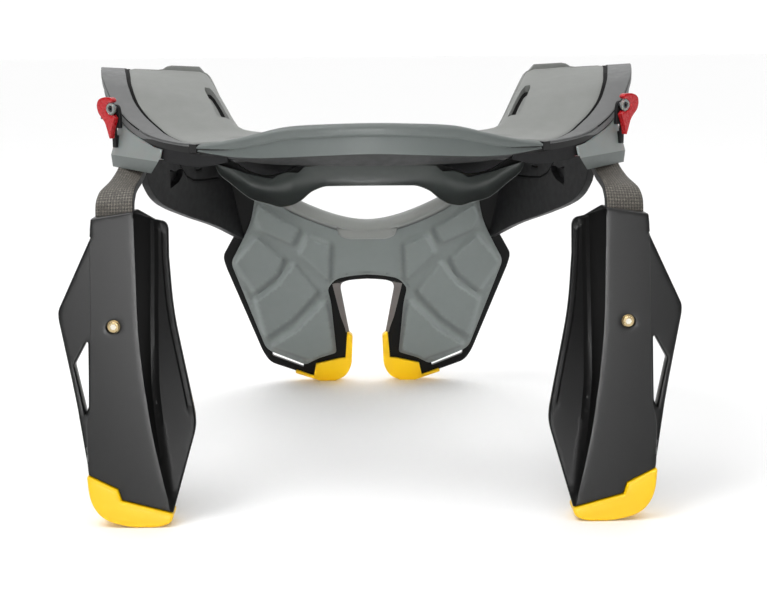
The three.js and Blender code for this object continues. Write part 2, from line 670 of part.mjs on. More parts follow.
function bracket() {
  const top = [[BRACKET.fromTurn, 0], [BRACKET.toTurn, 0], [BRACKET.toTurn, 1], [BRACKET.fromTurn, 1]];
  const seat = top.map(([turn, inner]) => {
    const row = readTable(REAR_COLLAR, turn);
    return collarPoint(row, collarWidth(row) - inner * BRACKET.topWidth, BRACKET.topDepth[inner]);
  });
  const block = join(loft([seat, BRACKET.shoulder, BRACKET.foot]), latchFoot());
  const body = cut(block, aboveRearFrame(), loft(strutSections(GAP)));
  return cut(join(body, bracketFlange(), latchEye()), latchBore());
}

function wingSection(z) {
  const row = readTable(WING, z);
  const { ease, step, slope, slopeDepth, taper } = WING_EDGE;
  const back = (depth) => depth + WING_SKIN;
  const profile = [
    [WING_REACH.outer, row.finDepth], [row.boxOuter + step, row.finDepth], [row.boxOuter, ease],
    [row.boxOuter - ease, 0], [row.bend, 0], [row.valley + slope, row.valleyDepth * slopeDepth],
    [row.valley - step, row.valleyDepth], [WING_REACH.inner, row.edgeDepth],
    [WING_REACH.inner, back(row.edgeDepth)], [row.valley - step, back(row.valleyDepth)],
    [row.bend + step, WING_BOX_DEPTH], [row.boxOuter - step, WING_BOX_DEPTH],
    [row.boxOuter + taper, back(row.finDepth)], [WING_REACH.outer, back(row.finDepth)],
  ];
  return profile.map(([x, depth]) => [x, wingPlane(z) + depth, z]);
}

function wing() {
  const { low, high, near, far } = WING_REACH;
  const slab = loft(steps(low, high, WING_STEP).map(wingSection));
  const body = common(slab, leanedPlate(WING_OUTLINE, upright, near, far));
  const window = leanedPlate(WING_WINDOW, upright, near, far);
  const seat = cylinderAlongY(SCREW.x, SCREW.z, SCREW.radius + GAP, [-1, SCREW.length - SCREW.proud + GAP]);
  seat.translate(0, wingPlane(SCREW.z), 0);
  const tip = leanedPlate(WING_BUMPER, upright, near, far, 0, GAP);
  return cut(body, window, seat, loft(strutSections(GAP)), tip);
}

function screw() {
  const head = cylinderAlongY(SCREW.x, SCREW.z, SCREW.radius, [-SCREW.proud, SCREW.length - SCREW.proud]);
  const socket = hexSocket(SCREW.x, -SCREW.proud, SCREW.z, SCREW.socket, SCREW.socketDepth);
  return cut(head, socket).translate(0, wingPlane(SCREW.z), 0);
}

function hexSocket(x, y, z, radius, depth) {
  return new THREE.CylinderGeometry(radius, radius, depth * 2, 6).translate(x, y, z);
}

function latchLever() {
  const body = leanedPlate(LATCH_OUTLINE, upright, 0, LATCH.thickness, LATCH.bevel);
  return cut(placeLatch(body), latchBore());
}

function latchPin() {
  const { pinRadius, pinHead, headLength, eyeDepth, socket, socketDepth } = LATCH;
  const shaft = cylinderAlongY(0, 0, pinRadius, [-headLength, eyeDepth[1]]);
  const head = cylinderAlongY(0, 0, pinHead, [-headLength - GAP, -GAP]);
  return placeLatch(cut(join(shaft, head), hexSocket(0, -headLength - GAP, 0, socket, socketDepth)));
}

// Front carriers

function armSection(along) {
  const row = readTable(ARM, along);
  const length = Math.hypot(ARM_END[0] - ARM_START[0], ARM_END[1] - ARM_START[1]);
  const way = [(ARM_END[0] - ARM_START[0]) / length, (ARM_END[1] - ARM_START[1]) / length];
  const foot = [ARM_START[0] + way[0] * along, ARM_START[1] + way[1] * along];
  const out = [way[1] * ARM_THICKNESS, -way[0] * ARM_THICKNESS];
  return [
    [foot[0], foot[1], row.bottom], [foot[0], foot[1], row.top],
    [foot[0] + out[0], foot[1] + out[1], row.top], [foot[0] + out[0], foot[1] + out[1], row.bottom],
  ];
}

// Heart-shaped dimple in the inner face of an arm.
function armDimple() {
  const section = (depth) => ARM_DIMPLE_OUTLINE.map(([along, z]) => {
    const [face, , back] = armSection(ARM_DIMPLE.along + along);
    const w = depth / ARM_THICKNESS;
    return [face[0] + (back[0] - face[0]) * w, face[1] + (back[1] - face[1]) * w, z];
  });
  return loft([section(-ARM_DIMPLE.clear), section(ARM_DIMPLE.depth)]);
}

function arm() {
  const { end, from, to, step } = ARM_STATIONS;
  const body = loft([...end, ...steps(from, to, step)].map(armSection));
  const behindPlate = leanedPlate(CHEST_BLOCK, chestPlane, CHEST_LAYERS.plate - GAP, CHEST_LAYERS.behind);
  const foam = leanedPlate(CHEST_FOAM, chestPlane, CUT_DEPTH.near, CHEST_LAYERS.plate, 0, GAP);
  return cut(body, aboveFrontFrame(), aboveFrontPad(), behindPlate, foam, armDimple());
}

function frontPad() {
  const ring = collarLoft(FRONT_COLLAR, frontTurns, padProfile(PAD_CROWN.front));
  return join(ring, leanedPlate(NECK_TAB, chestPlane, ...NECK_TAB_DEPTH, FOAM_BEVEL));
}

function chestBumper(grow) {
  return leanedPlate(CHEST_BUMPER, chestPlane, ...CHEST_LAYERS.bumper, grow > 0 ? 0 : BUMPER_BEVEL, grow);
}

function chestPlate() {
  const { plate, back } = CHEST_LAYERS;
  const body = leanedPlate(bothSides(CHEST_PLATE), chestPlane, plate, back, PLATE_BEVEL);
  const slot = leanedPlate(CHEST_SLOT, chestPlane, CUT_DEPTH.near, CUT_DEPTH.far);
  const tip = chestBumper(GAP);
  return cut(body, aboveFrontFrame(), aboveFrontPad(), slot, mirror(slot), tip, mirror(tip));
}

function chestPad() {
  const layers = CHEST_LAYERS;
  const bed = leanedPlate(bothSides(CHEST_FOAM), chestPlane, layers.foam, layers.plate - GAP, FOAM_BEVEL);
  const panels = CHEST_PANELS.map((points) => {
    return leanedPlate(points, chestPlane, layers.panel, layers.foam * 2, PANEL_BEVEL);
  });
  const body = join(bed, ...panels, ...panels.map(mirror));
  const tab = leanedPlate(NECK_TAB, chestPlane, CUT_DEPTH.near, CUT_DEPTH.far, 0, GAP);
  return cut(body, aboveFrontFrame(), aboveFrontPad(), tab);
}

// Assembly

const brace = new THREE.Group();

function add(name, geometry, finish) {
  const mesh = new THREE.Mesh(geometry, new THREE.MeshStandardMaterial(finish));
  mesh.name = name;
  brace.add(mesh);
}

function addPair(name, geometry, finish) {
  add(`${name}_right`, geometry, finish);
  add(`${name}_left`, mirror(geometry), finish);
}

const rearPad = collarLoft(REAR_COLLAR, rearTurns, padProfile(PAD_CROWN.rear));
add('rear_pad', cut(rearPad, padSlot(1), padSlot(-1)), FINISH.foam);
add('rear_frame', rearFrame(), FINISH.black);
const rimTurns = steps(RIM_START_TURN, CREST_TURN, STEP_TURN);
addPair('side_rim', collarLoft(REAR_COLLAR, rimTurns, rimProfile), FINISH.rim);
add('rear_lip', loft(steps(-LIP_TURN, LIP_TURN, LIP_STEP_TURN).map(lipSection)), FINISH.lip);
add('rear_skirt', loft(steps(-SKIRT_END, SKIRT_END, SKIRT_STEP).map(skirtSection)), FINISH.lip);
addPair('strut_bracket', bracket(), FINISH.clamp);
addPair('strut', loft(strutSections(0)), FINISH.weave);
addPair('wing', wing(), FINISH.black);
addPair('wing_screw', screw(), FINISH.steel);
addPair('wing_bumper',
  leanedPlate(WING_BUMPER, wingPlane, -WING_BUMPER_PROUD, WING_BOX_DEPTH, BUMPER_BEVEL), FINISH.yellow);
addPair('latch_pin', latchPin(), FINISH.dark);
addPair('latch_lever', latchLever(), FINISH.red);
const pinHeights = [HINGE.rearZ[0] - HINGE.proud, HINGE.frontZ[1] + HINGE.proud];
add('hinge_pin', cylinderAlongZ(HINGE.x, 0, HINGE.radius, pinHeights), FINISH.dark);
add('catch_pin', cylinderAlongZ(-HINGE.x, 0, HINGE.radius, pinHeights), FINISH.dark);

add('front_pad', frontPad(), FINISH.foam);
add('front_rim', collarLoft(FRONT_COLLAR, frontTurns, rimProfile), FINISH.rim);
add('front_frame', frontFrame(), FINISH.black);
addPair('front_arm', arm(), FINISH.black);
add('chest_plate', chestPlate(), FINISH.black);
add('chest_pad', chestPad(), FINISH.chestFoam);
addPair('chest_bumper', chestBumper(0), FINISH.yellow);

// The origin is under the middle of the brace.
const reach = new THREE.Box3().setFromObject(brace);
brace.position.set(0, -(reach.min.y + reach.max.y) / 2, -reach.min.z);

export default brace;
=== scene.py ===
"""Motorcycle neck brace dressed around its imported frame: foam collar, moulded shells, woven struts and tips.

Shapes are worked out in millimetres, in a frame with +X to the wearer's right, +Y to the front and +Z up, and
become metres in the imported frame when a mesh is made.
"""
import math

import bmesh
import bpy
import numpy as np
from mathutils import Matrix, Vector
from mathutils.geometry import delaunay_2d_cdt


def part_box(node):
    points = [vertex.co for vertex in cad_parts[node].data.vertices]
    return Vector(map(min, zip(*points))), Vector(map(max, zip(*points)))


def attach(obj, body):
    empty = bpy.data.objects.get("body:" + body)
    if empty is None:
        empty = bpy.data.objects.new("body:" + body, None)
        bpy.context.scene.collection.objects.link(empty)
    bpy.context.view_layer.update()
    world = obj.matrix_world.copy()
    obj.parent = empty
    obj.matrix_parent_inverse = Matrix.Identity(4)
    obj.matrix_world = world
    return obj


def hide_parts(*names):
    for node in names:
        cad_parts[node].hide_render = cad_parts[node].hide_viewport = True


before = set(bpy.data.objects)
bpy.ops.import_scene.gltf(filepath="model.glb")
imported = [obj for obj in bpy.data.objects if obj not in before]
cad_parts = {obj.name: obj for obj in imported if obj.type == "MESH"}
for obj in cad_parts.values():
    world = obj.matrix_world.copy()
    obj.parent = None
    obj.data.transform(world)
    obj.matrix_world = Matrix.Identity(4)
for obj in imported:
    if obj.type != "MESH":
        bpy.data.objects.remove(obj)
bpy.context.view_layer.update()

MM = 0.001
# Corners of a square about its middle.
SQUARE = ((-1, -1), (1, -1), (1, 1), (-1, 1))


def middle_y(node):
    """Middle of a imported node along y, in millimetres."""
    low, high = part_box(node)
    return (low.y + high.y) / 2 / MM


# The hinge pin stands at y 0 of the shapes' own frame.
OFFSET = np.array([0.0, middle_y("hinge_pin"), 0.0])


# Tables

class Table:
    """Rows of named columns, read smoothly between the rows and never past them.

    The first column is the place.
    """

    def __init__(self, columns, rows, mirror=False):
        data = np.array(rows, float)
        if mirror:
            flipped = data[data[:, 0] > 0][::-1].copy()
            turned = [i for i, name in enumerate(columns) if i == 0 or name.endswith("_x")]
            flipped[:, turned] *= -1
            data = np.vstack([flipped, data])
        self.columns = columns
        self.data = data
        rise = np.diff(data, axis=0) / np.diff(data[:, 0])[:, None]
        before, after = rise[:-1], rise[1:]
        total = before + after
        level = np.where(before * after > 0, 2 * before * after / np.where(total == 0, 1, total), 0)
        self.slope = np.vstack([rise[:1], level, rise[-1:]])

    def read(self, place):
        place = np.atleast_1d(np.asarray(place, float))
        rows = self.data
        i = np.clip(np.searchsorted(rows[:, 0], place) - 1, 0, len(rows) - 2)
        span = (rows[i + 1, 0] - rows[i, 0])[:, None]
        t = (place[:, None] - rows[i, :1]) / span
        first = rows[i] * (1 + 2 * t) + self.slope[i] * span * t
        last = rows[i + 1] * (3 - 2 * t) + self.slope[i + 1] * span * (t - 1)
        values = first * (1 - t) ** 2 + last * t ** 2
        return {name: values[:, k] for k, name in enumerate(self.columns)}


COLLAR_COLUMNS = ["turn", "inner_x", "inner_y", "inner_z", "outer_x", "outer_y", "outer_z", "band"]
REAR_COLLAR = Table(COLLAR_COLUMNS, [
    [0, 0, -82, 181, 0, -130, 187, 26],
    [20, 27, -81, 181.4, 48, -122.5, 185, 20],
    [35, 44, -79.5, 181.6, 82, -106, 178, 8],
    [36, 45, -79.3, 181.6, 84, -104.8, 178.1, 2],
    [45, 54, -77, 182.3, 101, -92, 180.3, 7],
    [55, 61.6, -72, 184.5, 116, -76, 187, 11],
    [63, 66.3, -61, 188.5, 127.5, -59.5, 197.3, 12.2],
    [70, 70.6, -48, 193.5, 134, -44.5, 206.5, 13.3],
    [80, 78.2, -24, 202, 139, -22.6, 211, 13.7],
    [90, 84.8, -0.3, 208.7, 143.4, -0.3, 212.4, 13.8],
], mirror=True)
FRONT_COLLAR = Table(COLLAR_COLUMNS, [
    [0, 0, 86, 117.5, 0, 126, 107, 11],
    [25, 41, 80, 131, 62, 116, 124, 11],
    [40, 60, 66, 153, 94, 97, 149, 12],
    [60, 76, 44, 180, 124, 63.5, 180, 13],
    [75, 82.4, 22, 200, 138, 32, 204, 13.6],
    [86, 84.6, 6, 208.6, 142.9, 8, 211.6, 13.8],
    [90, 84.8, 0.3, 209.4, 142.2, 0.3, 212.2, 13.6],
], mirror=True)
LIP = Table(["turn", "top", "crease", "face", "low", "bulge"], [
    [0, 188.5, 182.4, 174.6, 168.6, 1],
    [11, 187.8, 181.5, 173.6, 168.6, 1],
    [16, 186.9, 180.8, 173, 168.8, 0.9],
    [22, 183.9, 178, 172.5, 169.5, 0.6],
    [26, 181.7, 176.2, 172.6, 170.6, 0.4],
    [30, 179.8, 175.5, 173.4, 172, 0.2],
    [34.4, 178.4, 175.3, 174.6, 173.4, 0],
], mirror=True)
SKIRT = Table(["x", "top_y", "top_z", "mid_y", "mid_z", "low_y", "low_z"], [
    [0, -110, 168.2, -107.5, 163, -108, 158.4],
    [20, -110, 168.2, -106, 163, -107, 158.2],
    [27, -109, 168, -104, 161, -106, 155.9],
    [33, -108, 167.5, -101, 159, -106, 151.2],
    [37, -107, 166, -99, 158, -106, 149.2],
    [42, -106, 164, -98, 156.5, -106, 148.4],
    [48, -104.5, 162.8, -97, 156, -105.5, 149.9],
    [55, -103, 164, -96, 157.5, -104.5, 151.7],
    [66, -104, 170, -98.5, 164.5, -103, 159.8],
    [71, -104, 170.9, -100, 167.4, -103, 164.2],
    [72.5, -103.5, 171, -100.5, 169.2, -103, 167.4],
], mirror=True)
WING = Table(["z", "box_outer", "bend", "valley", "valley_depth", "edge_depth", "fin_depth"], [
    [-2, 132, 95, 94.3, 1, 1.5, 0.5],
    [8, 133, 96.3, 95.6, 1.2, 2, 0.5],
    [24, 134.5, 100, 98.6, 2.7, 3.5, 1.5],
    [46, 135, 104.7, 102.2, 5, 5, 5],
    [56, 133, 106.2, 103.4, 6, 5.5, 6.5],
    [68, 132.8, 108, 104.4, 7, 6, 7],
    [95, 132.5, 110.5, 104.6, 8.5, 6, 7],
    [121, 132.5, 111.2, 104.3, 9, 6, 7],
    [152, 132.3, 112, 104, 9, 6, 7],
])
STRUT = np.array([
    [115.5, -66, 173, 13.6],
    [116.4, -69, 165, 14],
    [118.4, -79, 158.5, 15.6],
    [120.9, -92, 153.5, 18],
    [121.4, -96.8, 148, 18.6],
    [121.4, -98.6, 138, 18.6],
    [121.4, -99.9, 129, 18.6],
])


# Outlines

NOTHING = 1e-9
NO_LENGTH = 1e-12
UNFOLD_ROUNDS = 12
# Most of a side that a corner's rounding may take, and the least cosine that lengthens a moved corner.
ROUND_SHARE = 0.49
MITER = 0.6
# Steps of an outline before it is drawn in, and of the guide lines made from it.
OUTLINE_STEP = 2
GUIDE_STEP = 1.4


def rounded(points, segments=6):
    """Closed outline whose corners carry an optional third value, the length of their rounding."""
    corners = np.array([p[:2] for p in points], float)
    made = []
    for i, point in enumerate(points):
        corner = corners[i]
        ends = []
        for other in (corners[i - 1], corners[(i + 1) % len(corners)]):
            length = np.linalg.norm(other - corner)
            reach = min(point[2] if len(point) > 2 else 0, length * ROUND_SHARE)
            ends.append(corner + (other - corner) * (reach / length))
        if len(point) > 2:
            for t in np.linspace(0, 1, segments + 1):
                made.append(ends[0] * (1 - t) ** 2 + corner * 2 * t * (1 - t) + ends[1] * t ** 2)
        else:
            made.append(corner)
    return np.array(made)


def both_sides(points):
    """Both halves of an outline that starts and ends on the middle line."""
    return [*points, *[[-p[0], *p[1:]] for p in reversed(points) if p[0] != 0]]


def resampled(loop, spacing):
    """The same closed outline with points no further apart than the spacing."""
    made = []
    for a, b in zip(loop, np.roll(loop, -1, axis=0)):
        count = max(1, math.ceil(np.linalg.norm(b - a) / spacing))
        made += [a + (b - a) * k / count for k in range(count)]
    return np.array(made)


def signed_area(loop):
    x, y = loop[:, 0], loop[:, 1]
    return 0.5 * np.sum(x * np.roll(y, -1) - y * np.roll(x, -1))


def inset(loop, distance):
    """Each corner of a closed outline moved to its left, so inwards where it runs anticlockwise."""
    def unit(v):
        return v / np.maximum(np.linalg.norm(v, axis=1, keepdims=True), NOTHING)
    ahead = unit(np.roll(loop, -1, axis=0) - loop)
    normal = np.stack([-ahead[:, 1], ahead[:, 0]], 1)
    mean = unit(normal + np.roll(normal, 1, axis=0))
    miter = 1 / np.clip((mean * normal).sum(1), MITER, 1)
    return unfolded(loop, loop + mean * (distance * miter)[:, None])


def unfolded(loop, moved):
    """Draws each stretch of a moved outline that has turned back on itself into one point."""
    along = np.roll(loop, -1, axis=0) - loop
    for _ in range(UNFOLD_ROUNDS):
        ahead = ((np.roll(moved, -1, axis=0) - moved) * along).sum(1)
        if ahead.min() > -NOTHING or ahead.max() < NOTHING:
            break
        folded = ahead < NOTHING
        start = int(np.argmin(folded))
        moved = moved.copy()
        run = []
        for i in (np.arange(len(loop)) + start + 1) % len(loop):
            if folded[i]:
                run.append(i)
            elif run:
                run.append(i)
                moved[run] = moved[run].mean(0)
                run = []
    return moved


def inside(points, loop):
    """Whether each point lies inside a closed outline."""
    x, y = points[:, :1], points[:, 1:]
    a, b = loop, np.roll(loop, -1, axis=0)
    crosses = (a[:, 1] > y) != (b[:, 1] > y)
    with np.errstate(divide="ignore", invalid="ignore"):
        at = a[:, 0] + (y - a[:, 1]) * (b[:, 0] - a[:, 0]) / (b[:, 1] - a[:, 1])
    return (crosses & (x < at)).sum(1) % 2 == 1


def distance_to(points, line, closed=True):
    """Shortest distance from each point to an outline or an open line."""
    a = line if closed else line[:-1]
    b = np.roll(line, -1, axis=0) if closed else line[1:]
    along = b - a
    length = np.maximum((along ** 2).sum(1), NO_LENGTH)
    best = np.full(len(points), np.inf)
    for start, step, size in zip(a, along, length):
        t = np.clip((points - start) @ step / size, 0, 1)
        best = np.minimum(best, np.linalg.norm(points - start - t[:, None] * step, axis=1))
    return best


def smoothstep(low, high, value):
    t = np.clip((value - low) / (high - low), 0, 1)
    return t * t * (3 - 2 * t)


# Meshes

# Points closer than this, in metres, are joined.
JOIN = 1e-6


def make(name, points, faces, sharp=35, uv=None):
    """Mesh object from millimetre points, shaded smooth except at edges sharper than an angle."""
    mesh = bpy.data.meshes.new(name)
    mesh.from_pydata(((np.asarray(points) + OFFSET) * MM).tolist(), [], [tuple(map(int, f)) for f in faces])
    if uv is not None:
        layer = mesh.uv_layers.new(name="weave")
        for loop in mesh.loops:
            layer.data[loop.index].uv = uv[loop.vertex_index]
    piece = bpy.data.objects.new(name, mesh)
    bpy.context.scene.collection.objects.link(piece)
    tidy_mesh(piece, sharp)
    return piece


def tidy_mesh(piece, sharp):
    """Doubled points joined, faces turned outwards and smooth shading set."""
    body = bmesh.new()
    body.from_mesh(piece.data)
    bmesh.ops.remove_doubles(body, verts=body.verts, dist=JOIN)
    bmesh.ops.recalc_face_normals(body, faces=body.faces)
    if body.calc_volume(signed=True) < 0:
        bmesh.ops.reverse_faces(body, faces=body.faces)
    body.to_mesh(piece.data)
    body.free()
    piece.data.polygons.foreach_set("use_smooth", [True] * len(piece.data.polygons))
    piece.data.set_sharp_from_angle(angle=math.radians(sharp))


def loft(name, sections, sharp=35, uv=None):
    """Closed skin through sections, an array of section, point and xyz."""
    count, size, _ = sections.shape
    faces = []
    for s in range(count - 1):
        for p in range(size):
            a, b = s * size + p, s * size + (p + 1) % size
            faces.append((a, b, b + size, a + size))
    faces.append(tuple(range(size))[::-1])
    faces.append(tuple(range((count - 1) * size, count * size)))
    return make(name, sections.reshape(-1, 3), faces, sharp, uv)


def apply_modifiers(piece):
    """Replaces a piece's mesh by what its modifiers make of it."""
    graph = bpy.context.evaluated_depsgraph_get()
    made = bpy.data.meshes.new_from_object(piece.evaluated_get(graph))
    piece.modifiers.clear()
    piece.data = made


def cut(piece, *tools, sharp=35):
    """Takes the tools out of a piece and removes them."""
    for tool in tools:
        modifier = piece.modifiers.new("cut", "BOOLEAN")
        modifier.operation = "DIFFERENCE"
        modifier.solver = "EXACT"
        modifier.object = tool
    apply_modifiers(piece)
    for tool in tools:
        bpy.data.objects.remove(tool)
    tidy_mesh(piece, sharp)
    return piece


def bevelled(piece, width, segments=3, angle=25, sharp=35):
    modifier = piece.modifiers.new("bevel", "BEVEL")
    modifier.width = width * MM
    modifier.segments = segments
    modifier.limit_method = "ANGLE"
    modifier.angle_limit = math.radians(angle)
    apply_modifiers(piece)
    tidy_mesh(piece, sharp)
    return piece


EDGE_STEPS = 4
SLIVER = 1e-4
MERGE = 1e-7
# Room that a plate's points keep from its borders and guide lines, and the pitch of their rows, as shares of
# the gap between points.
GUIDE_ROOM = 0.3
BORDER_ROOM = 0.6
LINE_ROOM = 0.5
ROW_PITCH = 0.866


def regions(triangles, border):
    """Groups of triangles that meet at sides other than border edges."""
    beside = {}
    for t, corners in enumerate(triangles):
        for k in range(3):
            beside.setdefault(frozenset((corners[k], corners[k - 1])), []).append(t)
    seen = set()
    for first in range(len(triangles)):
        if first in seen:
            continue
        seen.add(first)
        group = [first]
        for t in group:
            corners = triangles[t]
            for k in range(3):
                side = frozenset((corners[k], corners[k - 1]))
                if side not in border:
                    fresh = [other for other in beside[side] if other not in seen]
                    seen.update(fresh)
                    group += fresh
        yield group


def relief(name, outline, front, back, to_point, spacing=1.5, edge=0.8, back_edge=0.5, holes=(), lines=(),
           sharp=35, rough_back=2.5):
    """Plate with a modelled front.

    Outlines and lines are in the plate's own two directions; front and back give depths there, and to_point
    turns places and depths into xyz. Edges are rounded by the given radii.
    """
    loops = []
    for k, loop in enumerate([outline, *holes]):
        loop = resampled(np.asarray(loop, float), spacing)
        anticlockwise = signed_area(loop) > 0
        loops.append(loop if anticlockwise == (k == 0) else loop[::-1])
    points, faces = [], []

    def add_points(flat, depth):
        first = sum(map(len, points))
        points.append(to_point(flat[:, 0], flat[:, 1], depth))
        return np.arange(first, first + len(flat))

    def bridge(a, b):
        for i in range(len(a)):
            j = (i + 1) % len(a)
            faces.append((a[i], a[j], b[j], b[i]))

    def rings(depth_of, radius, way):
        inner = []
        outer = []
        for loop in loops:
            last = None
            for k in range(EDGE_STEPS + 1):
                angle = math.pi / 2 * k / EDGE_STEPS
                flat = inset(loop, radius * (1 - math.cos(angle)))
                depth = depth_of(flat[:, 0], flat[:, 1]) + way * radius * (1 - math.sin(angle))
                ring = add_points(flat, depth)
                if last is None:
                    outer.append(ring)
                else:
                    bridge(last, ring)
                last = ring
            inner.append((flat, last))
        return outer, inner

    def fill(inner, depth_of, gap, guides):
        flat = np.vstack([f for f, _ in inner])
        known = np.concatenate([k for _, k in inner])
        edges = []
        start = 0
        for f, _ in inner:
            edges += [(start + i, start + (i + 1) % len(f)) for i in range(len(f))]
            start += len(f)
        border_count = len(edges)
        guide_points = []
        for line in guides:
            kept = np.array(line)
            ok = inside(kept, inner[0][0]) & (distance_to(kept, inner[0][0]) > gap * GUIDE_ROOM)
            for f, _ in inner[1:]:
                ok &= ~inside(kept, f) & (distance_to(kept, f) > gap * GUIDE_ROOM)
            base = len(flat) + len(guide_points)
            number = np.cumsum(ok) - 1
            for i in range(len(kept) - 1):
                if ok[i] and ok[i + 1]:
                    edges.append((base + number[i], base + number[i + 1]))
            guide_points += [p for p, good in zip(kept, ok) if good]
        low, high = flat.min(0), flat.max(0)
        xs, ys = np.arange(low[0], high[0], gap), np.arange(low[1], high[1], gap * ROW_PITCH)
        grid = np.array([[x + (gap / 2 if row % 2 else 0), y] for row, y in enumerate(ys) for x in xs])
        keep = inside(grid, inner[0][0])
        for f, _ in inner:
            keep &= distance_to(grid, f) > gap * BORDER_ROOM
        for f, _ in inner[1:]:
            keep &= ~inside(grid, f)
        for line in guides:
            keep &= distance_to(grid, np.array(line), closed=False) > gap * LINE_ROOM
        grid = grid[keep]
        every = np.vstack([flat, *([np.array(guide_points)] if guide_points else []), grid])
        made, made_edges, triangles, origin, edge_origin, _ = delaunay_2d_cdt(
            [Vector(p) for p in every], [tuple(map(int, e)) for e in edges], [], 0, MERGE)
        border = {frozenset(edge) for edge, old in zip(made_edges, edge_origin)
                  if any(k < border_count for k in old)}
        made = np.array([list(p) for p in made])
        new = add_points(made, depth_of(made[:, 0], made[:, 1]))
        index = [known[min(o)] if o and min(o) < len(known) else new[i] for i, o in enumerate(origin)]
        for region in regions(triangles, border):
            corners = made[np.array([triangles[t] for t in region])]
            u, v = corners[:, 1] - corners[:, 0], corners[:, 2] - corners[:, 0]
            area = abs(u[:, 0] * v[:, 1] - u[:, 1] * v[:, 0])
            middle = corners[[area.argmax()]].mean(1)
            good = area.max() > SLIVER and inside(middle, inner[0][0])[0]
            if good and not any(inside(middle, f)[0] for f, _ in inner[1:]):
                faces.extend(tuple(index[i] for i in triangles[t]) for t in region)

    front_outer, front_inner = rings(front, edge, 1)
    back_outer, back_inner = rings(back, back_edge, -1)
    for a, b in zip(front_outer, back_outer):
        bridge(a, b)
    fill(front_inner, front, spacing, lines)
    fill(back_inner, back, spacing * rough_back, [])
    piece = make(name, np.vstack(points), faces, sharp)
    drop_loose(piece)
    return piece


def drop_loose(piece):
    body = bmesh.new()
    body.from_mesh(piece.data)
    bmesh.ops.delete(body, geom=[v for v in body.verts if not v.link_faces], context="VERTS")
    body.to_mesh(piece.data)
    body.free()


def mirrored_copy(piece, name):
    """The same piece on the other side of the middle plane."""
    mesh = piece.data.copy()
    mesh.transform(Matrix.Scale(-1, 4, (1, 0, 0)))
    mesh.flip_normals()
    other = bpy.data.objects.new(name, mesh)
    bpy.context.scene.collection.objects.link(other)
    return other


# Finishes

def linear(red, green, blue):
    """Colour from screen values of 0 to 255."""
    def one(v):
        v = v / 255
        return v / 12.92 if v <= 0.04045 else ((v + 0.055) / 1.055) ** 2.4
    return (one(red), one(green), one(blue), 1)


def shade(colour, factor):
    return tuple(min(1, c * factor) for c in colour[:3]) + (1,)


# Values that most of a noise lies between, and the height of the grain in millimetres.
NOISE_SPAN = (0.3, 0.7)
GRAIN_HEIGHT = 0.3


class Finish:
    """Material built from noise in the piece's own space: mottled colour, uneven gloss and a fine grain."""

    def __init__(self, name, colour, roughness, mottle=0.06, mottle_size=14, grain_size=0.6, grain=0.1,
                 uneven=0.06):
        self.material = bpy.data.materials.new(name)
        self.material.use_nodes = True
        self.nodes = self.material.node_tree.nodes
        self.links = self.material.node_tree.links
        self.shader = self.nodes["Principled BSDF"]
        self.place = self.nodes.new("ShaderNodeTexCoord").outputs["Object"]
        patches = self.noise(mottle_size, 3)
        self.colour = self.mix(patches, shade(colour, 1 - mottle), shade(colour, 1 + mottle))
        self.links.new(self.colour, self.shader.inputs["Base Color"])
        patchy = self.noise(mottle_size / 3, 2)
        gloss = self.spread(patchy, *NOISE_SPAN, roughness - uneven, roughness + uneven)
        self.links.new(gloss, self.shader.inputs["Roughness"])
        bump = self.nodes.new("ShaderNodeBump")
        bump.inputs["Strength"].default_value = grain
        bump.inputs["Distance"].default_value = GRAIN_HEIGHT * MM
        self.links.new(self.noise(grain_size, 2), bump.inputs["Height"])
        self.links.new(bump.outputs["Normal"], self.shader.inputs["Normal"])

    def noise(self, size, detail):
        node = self.nodes.new("ShaderNodeTexNoise")
        node.inputs["Scale"].default_value = 1 / (size * MM)
        node.inputs["Detail"].default_value = detail
        self.links.new(self.place, node.inputs["Vector"])
        return node.outputs["Fac"]

    def mix(self, factor, first, second):
        node = self.nodes.new("ShaderNodeMix")
        node.data_type = "RGBA"
        self.links.new(factor, node.inputs["Factor"])
        for value, socket in ((first, node.inputs["A"]), (second, node.inputs["B"])):
            if isinstance(value, tuple):
                socket.default_value = value
            else:
                self.links.new(value, socket)
        return node.outputs["Result"]

    def spread(self, value, from_low, from_high, to_low, to_high):
        node = self.nodes.new("ShaderNodeMapRange")
        self.links.new(value, node.inputs["Value"])
        limits = {"From Min": from_low, "From Max": from_high, "To Min": to_low, "To Max": to_high}
        for name, number in limits.items():
            node.inputs[name].default_value = number
        return node.outputs["Result"]

    def scale_by(self, attribute):
        """Scales the colour by a point attribute of the mesh."""
        node = self.nodes.new("ShaderNodeAttribute")
        node.attribute_name = attribute
        scale = self.nodes.new("ShaderNodeVectorMath")
        scale.operation = "SCALE"
        self.links.new(self.colour, scale.inputs[0])
        self.links.new(node.outputs["Fac"], scale.inputs["Scale"])
        self.links.new(scale.outputs["Vector"], self.shader.inputs["Base Color"])

    def set(self, **values):
        for name, value in values.items():
            self.shader.inputs[name.replace("_", " ")].default_value = value
        return self


